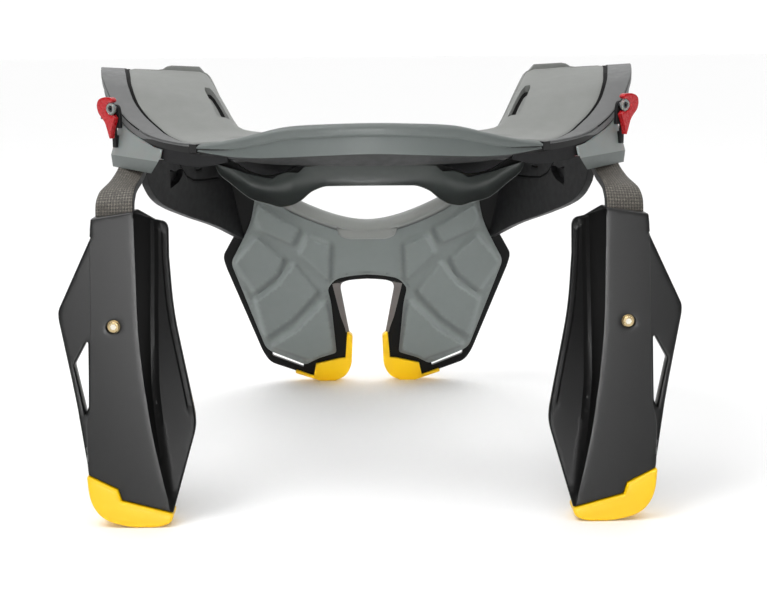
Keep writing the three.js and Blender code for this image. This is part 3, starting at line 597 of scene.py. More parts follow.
# Colour, roughness, mottle and its size, size of the grain and its strength, and unevenness of the gloss.
FOAM = Finish("collar foam", linear(126, 128, 125), 0.82, 0.04, 18, 0.8, 0.25).set(Sheen_Weight=0.15)
RIM = Finish("rim plastic", linear(98, 99, 99), 0.55, 0.03, 12, 0.5, 0.12)
SHELL = Finish("lip plastic", linear(92, 98, 96), 0.42, 0.04, 16, 0.45, 0.12)
BLACK = Finish("black plastic", linear(12, 12, 12), 0.33, 0.05, 10, 0.45, 0.04, 0.01).set(
    Specular_IOR_Level=0.45)
CHARCOAL = Finish("arm plastic", linear(27, 27, 28), 0.5, 0.08, 12, 0.5, 0.2).set(Specular_IOR_Level=0.25)
SKIRT_SHADE = Finish("skirt plastic painted shade", linear(52, 56, 54), 0.46, 0.05, 14, 0.45, 0.12)
CLAMP = Finish("clamp plastic", linear(132, 137, 135), 0.4, 0.05, 8, 0.5, 0.12).set(
    Subsurface_Weight=0.3, Subsurface_Scale=3 * MM)
# Near-black for the arms' seams and for painted shade in gaps, grooves and slits.
SEAMS_AND_SHADE = Finish("seam", linear(6, 6, 6), 0.7, 0.05, 8, 0.5, 0.05).set(Specular_IOR_Level=0.1)
DULL_BLACK_AND_SHADE = Finish("dull black plastic and painted shade", linear(10, 10, 10), 0.34, 0.05, 10, 0.45, 0.04, 0.01).set(
    Specular_IOR_Level=0.16)
CLAMP_FOOT_SHADE = Finish("clamp foot painted shade", linear(98, 104, 102), 0.45, 0.05, 8, 0.5, 0.12)
STEEL = Finish("screw metal", linear(186, 166, 126), 0.3, 0.08, 3, 0.3, 0.1).set(Metallic=1.0)
PIN = Finish("pin steel", linear(96, 96, 98), 0.42, 0.08, 3, 0.3, 0.1).set(Metallic=1.0)
RED = Finish("latch plastic", linear(178, 14, 24), 0.28, 0.05, 5, 0.4, 0.06).set(Coat_Weight=0.3)
YELLOW = Finish("tip rubber", linear(255, 203, 2), 0.36, 0.03, 9, 0.5, 0.12)
CHEST_FOAM_FINISH = Finish("chest foam", linear(113, 119, 117), 0.85, 0.05, 15, 0.7, 0.3).set(
    Sheen_Weight=0.12)
# The chest foam's colour is scaled by painted light and shade from its slopes and crests, and by a dark border
# line.
CHEST_FOAM_FINISH.scale_by("tone")
SOCKET_HIGHLIGHT = Finish("screw socket painted highlight", linear(236, 232, 220), 0.5, 0.04, 2, 0.3, 0.05)
SHADOW = Finish("lip underside painted shade", linear(30, 31, 31), 0.5, 0.06, 12, 0.45, 0.15)
NOTCH_PALE = Finish("notch slope pale", linear(104, 99, 96), 0.6, 0.05, 8, 0.5, 0.15)

# Pitch of the weave's threads.
THREAD = 1.0


def weave_finish():
    """Woven strip: two diagonal sets of threads from the piece's own flat map, in millimetres."""
    finish = Finish("strut weave", linear(74, 70, 64), 0.6, 0.6, 0.8, 0.35, 0.35)
    flat = finish.nodes.new("ShaderNodeUVMap")
    flat.uv_map = "weave"
    turn = finish.nodes.new("ShaderNodeMapping")
    turn.inputs["Rotation"].default_value = (0, 0, math.radians(45))
    finish.links.new(flat.outputs["UV"], turn.inputs["Vector"])
    check = finish.nodes.new("ShaderNodeTexChecker")
    check.inputs["Scale"].default_value = 1 / THREAD
    finish.links.new(turn.outputs["Vector"], check.inputs["Vector"])
    dark = finish.mix(check.outputs["Fac"], linear(42, 40, 36), linear(122, 117, 108))
    speck = finish.spread(finish.noise(1.1, 4), 0.42, 0.58, 0.25, 0.95)
    blended = finish.mix(speck, dark, finish.colour)
    finish.links.new(blended, finish.shader.inputs["Base Color"])
    return finish


WEAVE = weave_finish()


# Placing

def add(piece, body, slot, finish, *nodes, fill=None):
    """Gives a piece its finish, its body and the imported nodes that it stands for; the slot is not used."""
    piece.data.materials.clear()
    piece.data.materials.append(finish.material)
    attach(piece, body)
    if nodes:
        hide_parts(*nodes)
    return piece


def add_pair(piece, bodies, slot, finish, node):
    """The right piece and its mirrored left one."""
    other = mirrored_copy(piece, piece.name.replace("right", "left"))
    right, left = bodies
    add(piece, right, slot, finish, *([f"{node}_right"] if node else []))
    add(other, left, slot, finish, *([f"{node}_left"] if node else []))
    return piece, other


def paint(piece, finish, chosen):
    """Second finish on the faces that a test of their middles and normals picks, in millimetres."""
    piece.data.materials.append(finish.material)
    index = len(piece.data.materials) - 1
    for face in piece.data.polygons:
        if chosen(np.array(face.center) / MM - OFFSET, face.normal):
            face.material_index = index


# Collar

CREST = 90
PAD_THICKNESS = 8
PAD_NECK_EDGE = np.array([[1.6, 8], [0.7, 7.7], [0.15, 6.9], [0, 5.6], [0.1, 4.2], [0.45, 2.9], [1.1, 1.7],
                          [2.1, 0.8], [3.4, 0.25]])
PAD_RIM_EDGE = np.array([[2.4, 0.03], [1.3, 0.25], [0.6, 0.65], [0.15, 1.3], [0, 2.2], [0, 8]])
PAD_TOP_POINTS = 14
PAD_CROWN = {"begin": 0.02, "start": 0.12, "end": 0.5, "fade": 0.63}
REAR_CROWN = Table(["turn", "crown"], [[0, 0.6], [90, 0.6]])
FRONT_CROWN = Table(["turn", "crown"], [[0, 0.5], [45, 0.6], [76, 2.3], [90, 2.6]])
RIM_GAP = Table(["turn", "gap"], [[0, 0.3], [36, 0.3], [45, 0.5], [60, 1.0], [80, 1.5], [90, 1.6]])
RIM_WALL = Table(["turn", "wall"], [[36, 1.4], [46, 1.6], [52, 4.4], [90, 4.8]])
# Turns where a rim's wall starts and where it has nearly its full height.
RIM_FROM = 36
FULL_RIM = 52
RIM_EASE = 0.9
RIM_GROOVE = 0.9
# Roundings of a rim's inner and outer edge: distance from the wall and depth, as shares of the easing.
RIM_INNER_ROUND = [[0, 1], [0.13, 0.5], [0.5, 0.13], [1, 0]]
RIM_OUTER_ROUND = [[1, 0], [0.5, 0.13], [0.15, 0.5], [RIM_GROOVE, 0.7], [RIM_GROOVE, 1.5], [0, 1.6]]
RIM_LOW_ROUND = 0.3
RIM_LINE = {"start": 52, "back": 0.2, "inset": 0.3, "top": 0.76, "low": 1.46}
GAP_LINE = {"start": 38, "lap": 0.6, "lap_depth": 0.7, "top": 0.3, "tuck": 0.1, "tuck_depth": 0.5, "low": 3}
LINE_END = CREST - 0.5
PAD_FILL = 0.9
FRAME_EDGE_DEPTH = 9.5
FRAME_DEPTH = 14
REAR_FRAME_INNER = 4
FRONT_FRAME_INNER = 16
GAP = 0.35
TURN_STEP = 1.5


def turns_between(low, high, step=TURN_STEP):
    return np.linspace(low, high, max(2, round((high - low) / step) + 1))


def collar_rows(table, turns):
    """Rows of a collar half with the width of its top, seen from above."""
    row = table.read(turns)
    row["width"] = np.hypot(row["outer_x"] - row["inner_x"], row["outer_y"] - row["inner_y"])
    return row


def collar_points(row, profile):
    """Points from pairs of distance from the neck edge and depth below the top, section by section."""
    w = profile[:, :, 0] / row["width"][:, None]
    x, y, z = (row[f"inner_{c}"][:, None] * (1 - w) + row[f"outer_{c}"][:, None] * w for c in "xyz")
    return np.stack([x, y, z - profile[:, :, 1]], axis=2)


def section_corners(*pairs):
    """Section corners, row by row, from pairs of distance and depth. A plain number holds for every row."""
    values = np.broadcast_arrays(*[np.atleast_1d(value) for pair in pairs for value in pair])
    return np.stack(values, axis=1).reshape(len(values[0]), len(pairs), 2)


def strip_corners(near, far, top, low):
    """Corners of a strip's section between two distances and two depths."""
    return section_corners((near, low), (near, top), (far, top), (far, low))


def collar_loft(name, table, turns, profile, end_round=0.8, sharp=35):
    """Skin along a stretch of the collar; profile gives distance and depth pairs for rows. Ends are eased."""
    row = collar_rows(table, turns)
    flat = profile(row)
    sections = list(collar_points(row, flat))
    if end_round:
        for at, inner in ((0, 1), (-1, -2)):
            last = {name: value[[at]] for name, value in row.items()}
            outward = sections[at].mean(0) - sections[inner].mean(0)
            outward /= np.linalg.norm(outward)
            way = 1 if signed_area(flat[at]) > 0 else -1
            made = []
            for angle in np.radians([30, 60, 90]):
                shrunk = inset(flat[at], way * end_round * (1 - math.cos(angle)))
                ring = collar_points(last, shrunk[None])[0]
                made.append(ring - outward * end_round * (1 - math.sin(angle)))
            sections[at] = sections[at] - outward * end_round
            sections = made[::-1] + sections if at == 0 else sections + made
    return loft(name, np.array(sections), sharp)


def pad_profile(crown):
    """Section of a pad with a rounded neck edge and a crown of the given heights."""
    def profile(row):
        outer = row["width"] - row["band"] - RIM_GAP.read(abs(row["turn"]))["gap"] / 2
        neck = np.broadcast_to(PAD_NECK_EDGE, (len(outer), *PAD_NECK_EDGE.shape))
        t = np.linspace(0, 1, PAD_TOP_POINTS + 2)[1:-1]
        first, last = PAD_NECK_EDGE[-1, 0], PAD_RIM_EDGE[0, 0]
        across = first + (outer[:, None] - first - last) * t
        share = across / outer[:, None]
        rise = smoothstep(PAD_CROWN["begin"], PAD_CROWN["start"], share)
        rise = rise * (1 - smoothstep(PAD_CROWN["end"], PAD_CROWN["fade"], share))
        height = crown.read(abs(row["turn"]))["crown"][:, None]
        top = np.stack([across, -height * rise], axis=2)
        rim = section_corners(*((outer - back, depth) for back, depth in PAD_RIM_EDGE))
        return np.concatenate([neck, top, rim], axis=1)
    return profile


def rim_profile(row):
    """Section of a rim with eased edges and a groove in its outer wall."""
    turn = abs(row["turn"])
    outer = row["width"]
    inner = outer - row["band"] + RIM_GAP.read(turn)["gap"] / 2
    wall = RIM_WALL.read(np.maximum(turn, RIM_FROM))["wall"]
    ease = np.minimum(np.minimum(RIM_EASE, (outer - inner) / 3), wall / 2.5)
    low = ease * RIM_LOW_ROUND
    return section_corners(
        (inner, wall), *((inner + ease * across, ease * depth) for across, depth in RIM_INNER_ROUND),
        *((outer - ease * across, ease * depth) for across, depth in RIM_OUTER_ROUND),
        (outer, wall - low), (outer - low, wall))


def front_rim_profile(row):
    return rim_profile({**row, "turn": np.maximum(abs(row["turn"]), FULL_RIM)})


def rim_line_profile(row):
    """Black bead at the bottom of the groove in a rim's outer wall: painted shade in the groove."""
    outer = row["width"]
    return strip_corners(outer - RIM_EASE * RIM_GROOVE - RIM_LINE["back"], outer - RIM_LINE["inset"],
                         RIM_EASE * RIM_LINE["top"], RIM_EASE * RIM_LINE["low"])


def gap_line_profile(row):
    """Black bead in the gap between a pad and its rim: painted shade in the gap."""
    half = RIM_GAP.read(abs(row["turn"]))["gap"] / 2
    near, far = row["width"] - row["band"] - half, row["width"] - row["band"] + half
    tuck, low = GAP_LINE["tuck"], GAP_LINE["low"]
    return section_corners(
        (near - GAP_LINE["lap"], GAP_LINE["lap_depth"]), (near, GAP_LINE["top"]), (far, GAP_LINE["top"]),
        (far + tuck, GAP_LINE["tuck_depth"]), (far - tuck, low), (near + tuck, low))


# Recess near the neck edge of a side pad, pointed at both ends, with a floor that slopes.
PAD_SLOT = Table(["turn", "half"], [[60.2, 2.7], [61, 2.9], [68, 2.8], [75, 2.4], [77.5, 1.4]])
PAD_SLOT_TURNS = (60.2, 77.5, 0.7)
PAD_SLOT_PLACE = {"across": 6.9, "near_depth": 3.4, "far_depth": 2.8, "clear": -4, "bottom": 6}
# Slit along the neck side of that recess, which takes in its whole upper end.
PAD_SLIT = Table(["turn", "width"], [[60.2, 2.1], [72, 1.9], [75.2, 2], [75.9, 3.6], [77.5, 2.7]])
# Black strip laid in the slit as painted shade: turns it lies along, and its top and low depths.
SLIT_SHADE_STRIP = {"turns": (60.6, 77.1, 0.7), "top": 2.6, "low": 5.8}


def pad_slot(side):
    """Blocks that cut the recess and its slit into one side of the pad."""
    turns = turns_between(*PAD_SLOT_TURNS)
    half = PAD_SLOT.read(turns)["half"]
    place = PAD_SLOT_PLACE
    row = collar_rows(REAR_COLLAR, side * turns)
    near, far = place["across"] - half, place["across"] + half
    slit_far = near + PAD_SLIT.read(turns)["width"]
    clear, bottom = place["clear"], place["bottom"]
    slot = section_corners((near, clear), (far, clear), (far, place["far_depth"]), (near, place["near_depth"]))
    slit = section_corners((near, clear), (slit_far, clear), (slit_far, bottom), (near, bottom))
    return [loft(f"pad slot {side}", collar_points(row, slot)),
            loft(f"pad slit {side}", collar_points(row, slit))]


def slit_shade_strip_profile(row):
    """Black strip that lies in the slit of a recess: painted shade in the slit."""
    turn = abs(row["turn"])
    near = PAD_SLOT_PLACE["across"] - PAD_SLOT.read(turn)["half"] + GAP / 2
    far = near + PAD_SLIT.read(turn)["width"] - GAP
    return strip_corners(near, far, SLIT_SHADE_STRIP["top"], SLIT_SHADE_STRIP["low"])


whole_half = turns_between(-CREST, CREST)
rear_pad = collar_loft("rear_collar_pad", REAR_COLLAR, whole_half, pad_profile(REAR_CROWN))
cut(rear_pad, *pad_slot(1), *pad_slot(-1))
add(rear_pad, "rear", "collar_foam", FOAM, "rear_pad", fill=PAD_FILL)
# Painted shade: a black strip in each slit.
slit_shade_strip = collar_loft("slit_lining_right", REAR_COLLAR, turns_between(*SLIT_SHADE_STRIP["turns"]),
                          slit_shade_strip_profile, 0)
add_pair(slit_shade_strip, ("rear", "rear"), "black_plastic", SEAMS_AND_SHADE, None)
front_pad = collar_loft("front_collar_pad", FRONT_COLLAR, whole_half, pad_profile(FRONT_CROWN))
add(front_pad, "front", "collar_foam", FOAM, "front_pad", fill=PAD_FILL)

RIM_START = 36.4
RIM_END_ROUND = 0.5
side_turns = turns_between(RIM_START, CREST)
side_rim = collar_loft("side_rim_right", REAR_COLLAR, side_turns, rim_profile, RIM_END_ROUND)
add_pair(side_rim, ("rear", "rear"), "rim_plastic", RIM, "side_rim")
front_rim = collar_loft("front_rim_strip", FRONT_COLLAR, whole_half, front_rim_profile, RIM_END_ROUND)
add(front_rim, "front", "rim_plastic", RIM, "front_rim")


def add_lines(name, start, profile):
    """Black bead of painted shade along both side rims, from a turn on, and along the front rim."""
    side = collar_loft(f"{name}_right", REAR_COLLAR, turns_between(start, LINE_END), profile, 0)
    add_pair(side, ("rear", "rear"), "black_plastic", SEAMS_AND_SHADE, None)
    front = collar_loft(f"front_{name}", FRONT_COLLAR, turns_between(-LINE_END, LINE_END), profile, 0)
    add(front, "front", "black_plastic", SEAMS_AND_SHADE)


# Beads of painted shade in the pad gaps and the rim grooves.
add_lines("gap_line", GAP_LINE["start"], gap_line_profile)
add_lines("rim_line", RIM_LINE["start"], rim_line_profile)

# Dark trim below the thin start of each side rim.
RIM_BED = {"from": RIM_START, "to": 56, "step": TURN_STEP, "inset": 0.4, "below_rim": 0.05, "low": 4.4}
RIM_APRON = {"from": 28, "to": 57, "step": TURN_STEP, "inset": 0.9, "thickness": 0.8, "low": 10.6}
RIM_BLOCK = {"from": 34.6, "to": 36.3, "step": 0.3, "inset": 0.3, "top": 0.2, "low": 4.2}
APRON_TOP = Table(["turn", "top"], [[28, 7.4], [30, 6.6], [34.4, 4.9], [36, 4.5], [57, 4.5]])


def rim_bed_profile(row):
    """Black bed right below the rim."""
    outer = row["width"] - RIM_BED["inset"]
    inner = outer - np.maximum(row["band"] - 1, 1)
    top = RIM_WALL.read(row["turn"])["wall"] + RIM_BED["below_rim"]
    return strip_corners(inner, outer, top, RIM_BED["low"])


def rim_apron_profile(row):
    """Dark wall below the bed and the block, in front of the pad's edge."""
    outer = row["width"] - RIM_APRON["inset"]
    top = APRON_TOP.read(abs(row["turn"]))["top"]
    return strip_corners(outer - RIM_APRON["thickness"], outer, top, RIM_APRON["low"])


def rim_block_profile(row):
    """Black block between the end of the rim and the end of the lip."""
    inner = row["width"] - row["band"] + GAP
    return strip_corners(inner, row["width"] - RIM_BLOCK["inset"], RIM_BLOCK["top"], RIM_BLOCK["low"])


for name, place, profile, finish in (("rim_bed", RIM_BED, rim_bed_profile, BLACK),
                                     ("rim_apron", RIM_APRON, rim_apron_profile, CHARCOAL),
                                     ("rim_block", RIM_BLOCK, rim_block_profile, BLACK)):
    turns = turns_between(place["from"], place["to"], place["step"])
    trim = collar_loft(f"{name}_right", REAR_COLLAR, turns, profile, 0)
    add_pair(trim, ("rear", "rear"), "black_plastic", finish, None)

# Rear lip

LIP_END = 34.4
LIP_STEP = 1.0
# Faces of the lip that look down past this slope, below this height, get a painted shade.
LIP_SHADE = {"slope": -0.12, "below": 176}


def lip_profile(row, lip):
    """Corners of a lip section as distance inwards from its outer edge, height and rounding."""
    bulge = lip["bulge"]
    return [
        [row["band"], row["seat"], 0.5], [6, lip["top"] - 0.6, 2], [2.6, lip["top"], 2.2],
        [0, lip["top"] - 1.6, 2], [0, lip["crease"] + 0.7, 0.5], [0.95, lip["crease"], 0.35],
        [0.3 - 1.6 * bulge, lip["face"], 0.5], [2 + 7 * bulge, lip["low"], 0.6],
        [row["band"], lip["low"], 0.5],
    ]


def lip_section(turn):
    row = collar_rows(REAR_COLLAR, turn)
    row["seat"] = collar_points(row, section_corners((row["width"] - row["band"], 0)))[0, :, 2]
    one = {name: value[0] for name, value in row.items()}
    lip = {name: value[0] for name, value in LIP.read(turn).items()}
    flat = rounded(lip_profile(one, lip), 5)
    across = np.column_stack([one["width"] - flat[:, 0], 0 * flat[:, 0]])
    points = collar_points(row, across[None])[0]
    points[:, 2] = flat[:, 1]
    return points


lip_turns = turns_between(-LIP_END, LIP_END, LIP_STEP)
rear_lip = loft("rear_lip_shell", np.array([lip_section(turn) for turn in lip_turns]))
add(rear_lip, "rear", "lip_plastic", SHELL, "rear_lip")
# Painted shade on the lip's downward faces.
paint(rear_lip, SHADOW,
      lambda middle, normal: normal.z < LIP_SHADE["slope"] and middle[2] < LIP_SHADE["below"])

# Rear skirt

SKIRT_END = 72.5
SKIRT_THICKNESS = 3
SKIRT_STEP = 0.8
SKIRT_CURVE = 10
SKIRT_BLACK_POINTS = 5
SKIRT_RECESS = 0.9
# Lower border of the black step above the lobes, as x and height.
SKIRT_BLACK = np.array([
    [0, 171], [30, 168.6], [31, 166.8], [34, 164], [40.5, 164.6], [44, 162.7], [46, 161], [58, 163.5],
    [72, 168],
])
# The step lies between these shares of the curve. The low edge and the back's low corner are eased by offsets.
SKIRT_SPLIT = (0.03, 0.8)
SKIRT_EDGE = np.array([[0.5, -0.25], [1.4, -0.2]])
SKIRT_BACK_EASE = [-0.6, 0.7]
SKIRT_FINE = 200


def step_border(x):
    return np.interp(abs(x), SKIRT_BLACK[:, 0], SKIRT_BLACK[:, 1])


def skirt_section(x):
    row = {name: value[0] for name, value in SKIRT.read(x).items()}
    line = np.array([[row[f"{level}_y"], row[f"{level}_z"]] for level in ("top", "mid", "low")])
    bend = 2 * line[1] - (line[0] + line[2]) / 2

    def curve(t):
        t = np.asarray(t)[:, None]
        return line[0] * (1 - t) ** 2 + bend * 2 * t * (1 - t) + line[2] * t ** 2

    fine = np.linspace(0, 1, SKIRT_FINE)
    heights = curve(fine)[:, 1]
    split = np.clip(np.interp(-step_border(x), -heights, fine), *SKIRT_SPLIT)
    upper = curve(np.linspace(0, split, SKIRT_BLACK_POINTS)) + [SKIRT_RECESS, 0]
    lower = curve(np.linspace(split, 1, SKIRT_CURVE))
    front = np.vstack([upper, lower])
    back = front[::-1] + [SKIRT_THICKNESS, 0]
    back[0] += SKIRT_BACK_EASE
    flat = np.vstack([front, line[2] + SKIRT_EDGE, back])
    return np.column_stack([np.full(len(flat), x), flat])


skirt_x = np.linspace(-SKIRT_END, SKIRT_END, round(2 * SKIRT_END / SKIRT_STEP) + 1)
skirt = loft("rear_skirt_shell", np.array([skirt_section(x) for x in skirt_x]))
# The skirt takes a darker copy of the lip plastic: painted shade under the lip.
add(skirt, "rear", "lip_plastic", SKIRT_SHADE, "rear_skirt")
paint(skirt, BLACK, lambda middle, normal: middle[2] > step_border(middle[0]))

# Struts and their clamps

STRUT_THICKNESS = 3.6
STRUT_TURN = math.radians(10)
STRUT_EDGE = 0.8
STRUT_STEPS = 48
# Faces of a strut that look this far sideways are its dark edges.
STRUT_SIDEWAYS = 0.75


def strut():
    """Woven strip along its centre line, with a flat map in millimetres for the weave."""
    place = np.arange(len(STRUT))
    path = Table(["place", "x", "y", "z", "width"], np.column_stack([place, STRUT]))
    at = np.linspace(0, len(STRUT) - 1, STRUT_STEPS)
    row = path.read(at)
    centre = np.column_stack([row["x"], row["y"], row["z"]])
    along = np.gradient(centre, axis=0)
    along /= np.linalg.norm(along, axis=1, keepdims=True)
    across = np.array([1.0, 0, 0]) - along * along[:, :1]
    across /= np.linalg.norm(across, axis=1, keepdims=True)
    normal = np.cross(along, across)
    across = across * math.cos(STRUT_TURN) - normal * math.sin(STRUT_TURN)
    normal = np.cross(along, across)
    travelled = np.concatenate([[0], np.cumsum(np.linalg.norm(np.diff(centre, axis=0), axis=1))])
    half_thick = STRUT_THICKNESS / 2
    sections, flat_map = [], []
    for i, half in enumerate(row["width"] / 2):
        flat = rounded([[u * half, v * half_thick, STRUT_EDGE] for u, v in SQUARE], 3)
        sections.append(centre[i] + flat[:, :1] * across[i] + flat[:, 1:] * normal[i])
        flat_map += [(u + v, travelled[i]) for u, v in flat]
    return loft("strut_right", np.array(sections), sharp=40, uv=flat_map)


for piece in add_pair(strut(), ("rear", "rear"), "strut_composite", WEAVE, "strut"):
    paint(piece, CHARCOAL, lambda middle, normal: abs(normal.x) > STRUT_SIDEWAYS)

BRACKET = {
    "from_turn": 59, "to_turn": 43.6, "top": 5.1, "proud": 0.5, "skin": 0.9, "seat_width": 11,
    "shoulder": [[127.7, -66.5, 170.5], [100.4, -94.5, 169.1], [104.8, -76, 169.4], [121.5, -57, 171]],
    "foot": [[127.2, -66, 164.6], [105, -88, 163], [108.2, -75.5, 163.2], [120.5, -59, 164]],
}
BRACKET_EDGE = 0.35
BRACKET_POINTS = 12
SHOULDER_EDGE = 0.4


def frame_underside(row, across, inner):
    """Depth of the underside of a frame below the collar's top."""
    rise = (FRAME_EDGE_DEPTH - FRAME_DEPTH) * (across - inner) / (row["width"] - 1 - inner)
    return FRAME_DEPTH + rise + GAP


def bracket():
    """Clamp under the rim: a face that slants from the rim to a shoulder, and a foot drawn in below."""
    row = collar_rows(REAR_COLLAR, np.linspace(BRACKET["from_turn"], BRACKET["to_turn"], BRACKET_POINTS))
    t = np.linspace(0, 1, BRACKET_POINTS)[:, None]

    def along(across, depth):
        return collar_points(row, np.stack([across, depth], axis=1)[:, None])[:, 0]

    def straight(corners):
        first, second, third, fourth = np.array(corners, float)
        return np.vstack([first + (second - first) * t, third + (fourth - third) * t])

    outer = row["width"] + BRACKET["proud"]
    top = along(outer, BRACKET["top"] + 0 * outer)
    skin = along(outer - BRACKET["skin"], BRACKET["top"] + 0 * outer) - top
    shoulder = straight(BRACKET["shoulder"])
    seat_depth = frame_underside(row, outer, REAR_FRAME_INNER)
    drop = (seat_depth - BRACKET["top"]) / (top[:, 2] - shoulder[:BRACKET_POINTS, 2])
    seat = top + (shoulder[:BRACKET_POINTS] - top) * drop[:, None]
    inner = row["width"] - BRACKET["seat_width"]
    under = along(inner, frame_underside(row, inner, REAR_FRAME_INNER))
    sections = [np.vstack([top, (top + skin)[::-1]]), np.vstack([seat, (seat + skin)[::-1]]),
                np.vstack([seat, under[::-1]]), shoulder, straight(BRACKET["foot"])]
    body = loft("strut_bracket_right", np.array(sections), sharp=20)
    return bevelled(body, BRACKET_EDGE, segments=2, angle=22, sharp=22)


def below_shoulder(middle, normal):
    (x0, _, z0), (x1, _, z1) = BRACKET["shoulder"][:2]
    return middle[2] < np.interp(abs(middle[0]), [x1, x0], [z1, z0]) - SHOULDER_EDGE


# Below the shoulder the clamp takes a darker copy of its plastic: painted shade on the foot.
for piece in add_pair(bracket(), ("rear", "rear"), "clamp_plastic", CLAMP, "strut_bracket"):
    paint(piece, CLAMP_FOOT_SHADE, below_shoulder)

# Latches: flat pieces in a frame with the pin's outer end at the origin, turned to their place

LATCH = {
    "place": np.array([125.5, -75, 193.2]), "turn": math.radians(35), "thickness": 3.2, "pin_radius": 1.5,
    "boss_radius": 2.7, "boss": (-0.3, 1.3), "boss_room": 0.05, "socket": 0.9, "socket_depth": 1.2,
    "notch": 3.05, "edge": 0.4, "pin_room": 0.1,
}
LATCH_OUTLINE = [
    [-1.5, 4.3, 0.5], [-0.6, 5.4, 0.8], [4.4, 5.7, 2], [8.4, 4.4, 2], [9.6, 1.3, 2], [8.6, -2.4, 2],
    [5.9, -4.9, 1.5], [4.2, -7, 1], [2.8, -11], [1.7, -14.4, 0.3], [1.1, -14.4, 0.3], [0.1, -10], [-1.3, -6.6],
    [-2.2, -4.8, 0.5],
]
# The lever grips the boss of its pin from these angles, in degrees, and is open on the collar's side.
LATCH_GRIP = (-105, 100)
LATCH_EYE = [
    [1.2, -17], [3.2, -17], [2.6, -5, 1], [2.4, 2, 2], [-1.5, 2, 2], [-2.4, -2, 1.5], [-2.4, -9.5, 0.5],
    [1.2, -9.5, 0.5],
]
LATCH_EYE_DEPTH = (3.55, 5.4)
LATCH_FOOT = [[1, -19, 0.5], [3.4, -19, 0.5], [3.4, -13, 0.5], [1, -13, 0.5]]
LATCH_FOOT_DEPTH = (3.6, 8.5)


def latch_point(x, z, depth):
    """From the latch's own frame to its place on the right side."""
    c, s = math.cos(LATCH["turn"]), math.sin(LATCH["turn"])
    return np.column_stack([x * c - depth * s, x * s + depth * c, z + 0 * x]) + LATCH["place"]


def level(depth):
    return lambda x, z: np.full(len(x), float(depth))


def flat_plate(name, outline, depths, *rest, **more):
    """Plate whose front and back are flat, at two depths."""
    near, far = depths
    return relief(name, outline, level(near), level(far), *rest, **more)


def circle(x, z, radius, count=32):
    angle = np.linspace(0, 2 * math.pi, count, endpoint=False)
    return np.column_stack([x + radius * np.cos(angle), z + radius * np.sin(angle)])


# Screw heads: sides, rounding of the rim and easing of the socket.
HEAD = {"sides": 24, "edge": 0.4, "lip": 0.1, "lip_depth": 0.08}


def hexagon(radius, count=HEAD["sides"]):
    angle = np.linspace(0, 2 * math.pi, count, endpoint=False)
    reach = radius * math.cos(math.pi / 6) / np.cos(angle % (math.pi / 3) - math.pi / 6)
    return np.column_stack([reach * np.cos(angle), reach * np.sin(angle)])


def socket_head(name, to_point, radius, length, socket, socket_depth, shaft=None, shaft_length=0):
    """Round head with a hexagonal socket in its face, and a shaft behind it if one is given."""
    def ring(size):
        return circle(0, 0, size, HEAD["sides"])

    edge = HEAD["edge"]
    rings = [(hexagon(socket), socket_depth), (hexagon(socket), HEAD["lip_depth"]),
             (hexagon(socket + HEAD["lip"]), 0)]
    for angle in np.radians([90, 60, 30, 0]):
        rings.append((ring(radius - edge * (1 - math.cos(angle))), edge * (1 - math.sin(angle))))
    rings.append((ring(radius), length))
    if shaft:
        rings += [(ring(shaft), length), (ring(shaft), shaft_length)]
    return loft(name, np.array([to_point(flat[:, 0], flat[:, 1], depth) for flat, depth in rings]), sharp=30)


grip = np.radians(np.linspace(*LATCH_GRIP, 22))
notch = LATCH["notch"] * np.column_stack([np.cos(grip), np.sin(grip)])
edge = LATCH["edge"]
lever = flat_plate("latch_lever_right", np.vstack([rounded(LATCH_OUTLINE), notch]), (0, LATCH["thickness"]),
                   latch_point, spacing=0.8, edge=edge, back_edge=edge)
add_pair(lever, ("latch_right", "latch_left"), "latch_plastic", RED, "latch_lever")
for name, outline, depths in (("latch_eye_right", LATCH_EYE, LATCH_EYE_DEPTH),
                              ("latch_foot_right", LATCH_FOOT, LATCH_FOOT_DEPTH)):
    seat = flat_plate(name, rounded(outline), depths, latch_point, spacing=1, edge=edge, back_edge=edge)
    add_pair(seat, ("rear", "rear"), "black_plastic", CHARCOAL, None)
pin_hole = circle(0, 0, LATCH["pin_radius"] + LATCH["boss_room"])
boss = flat_plate("latch_boss_right", circle(0, 0, LATCH["boss_radius"]), LATCH["boss"], latch_point,
                  spacing=0.8, edge=edge, back_edge=0.3, holes=[pin_hole])
add_pair(boss, ("rear", "rear"), "clamp_plastic", CLAMP, None)
pin_length = LATCH_EYE_DEPTH[0] - LATCH["pin_room"]
pin = socket_head("latch_pin_right", latch_point, LATCH["pin_radius"], pin_length, LATCH["socket"],
                  LATCH["socket_depth"])
add_pair(pin, ("rear", "rear"), "pin_steel", PIN, "latch_pin")

# Back wings

WING_FOOT_Y = -130
WING_LEAN = 0.178
WING_SKIN = 3.5
WING_BOX_DEPTH = 13
WING_BACK_ROOM = 0.6
WING_TIP_LINE = [[134.4, 24.5], [120.6, 17.9], [118.8, 12.7], [94.9, 6.4]]
WING_OUTLINE = [
    [96.6, 124], [96.7, 140.4, 4], [103, 141.6], [111.7, 146.4, 1], [131.8, 143.4, 1], [132.7, 135.2],
    [149.3, 99.4, 2], [149, 95.2, 1], *WING_TIP_LINE, [84.3, 44, 4], [84.3, 50, 4], [90.3, 78, 20],
    [94.7, 99, 20],
]
WING_WINDOW = [[135.9, 85, 1], [141.9, 74, 1], [136.6, 51, 0.5], [135.2, 54.5], [135.2, 84.4, 0.5]]
WING_BUMPER = [
    [94.6, 6, 1.7], [118.8, 12.3], [120.6, 17.5], [135.2, 24.6, 1.7], [133.8, 11.6, 8], [127.2, 3.2, 7],
    [114, 0, 5], [101, 0, 4], [95.4, 2.2, 2.5],
]
WING_BUMPER_PROUD = 1.2
WING_INNER = 78
WING_OUTER = 152
WING_FLANGE_END = 98
WING_EASE = 0.4
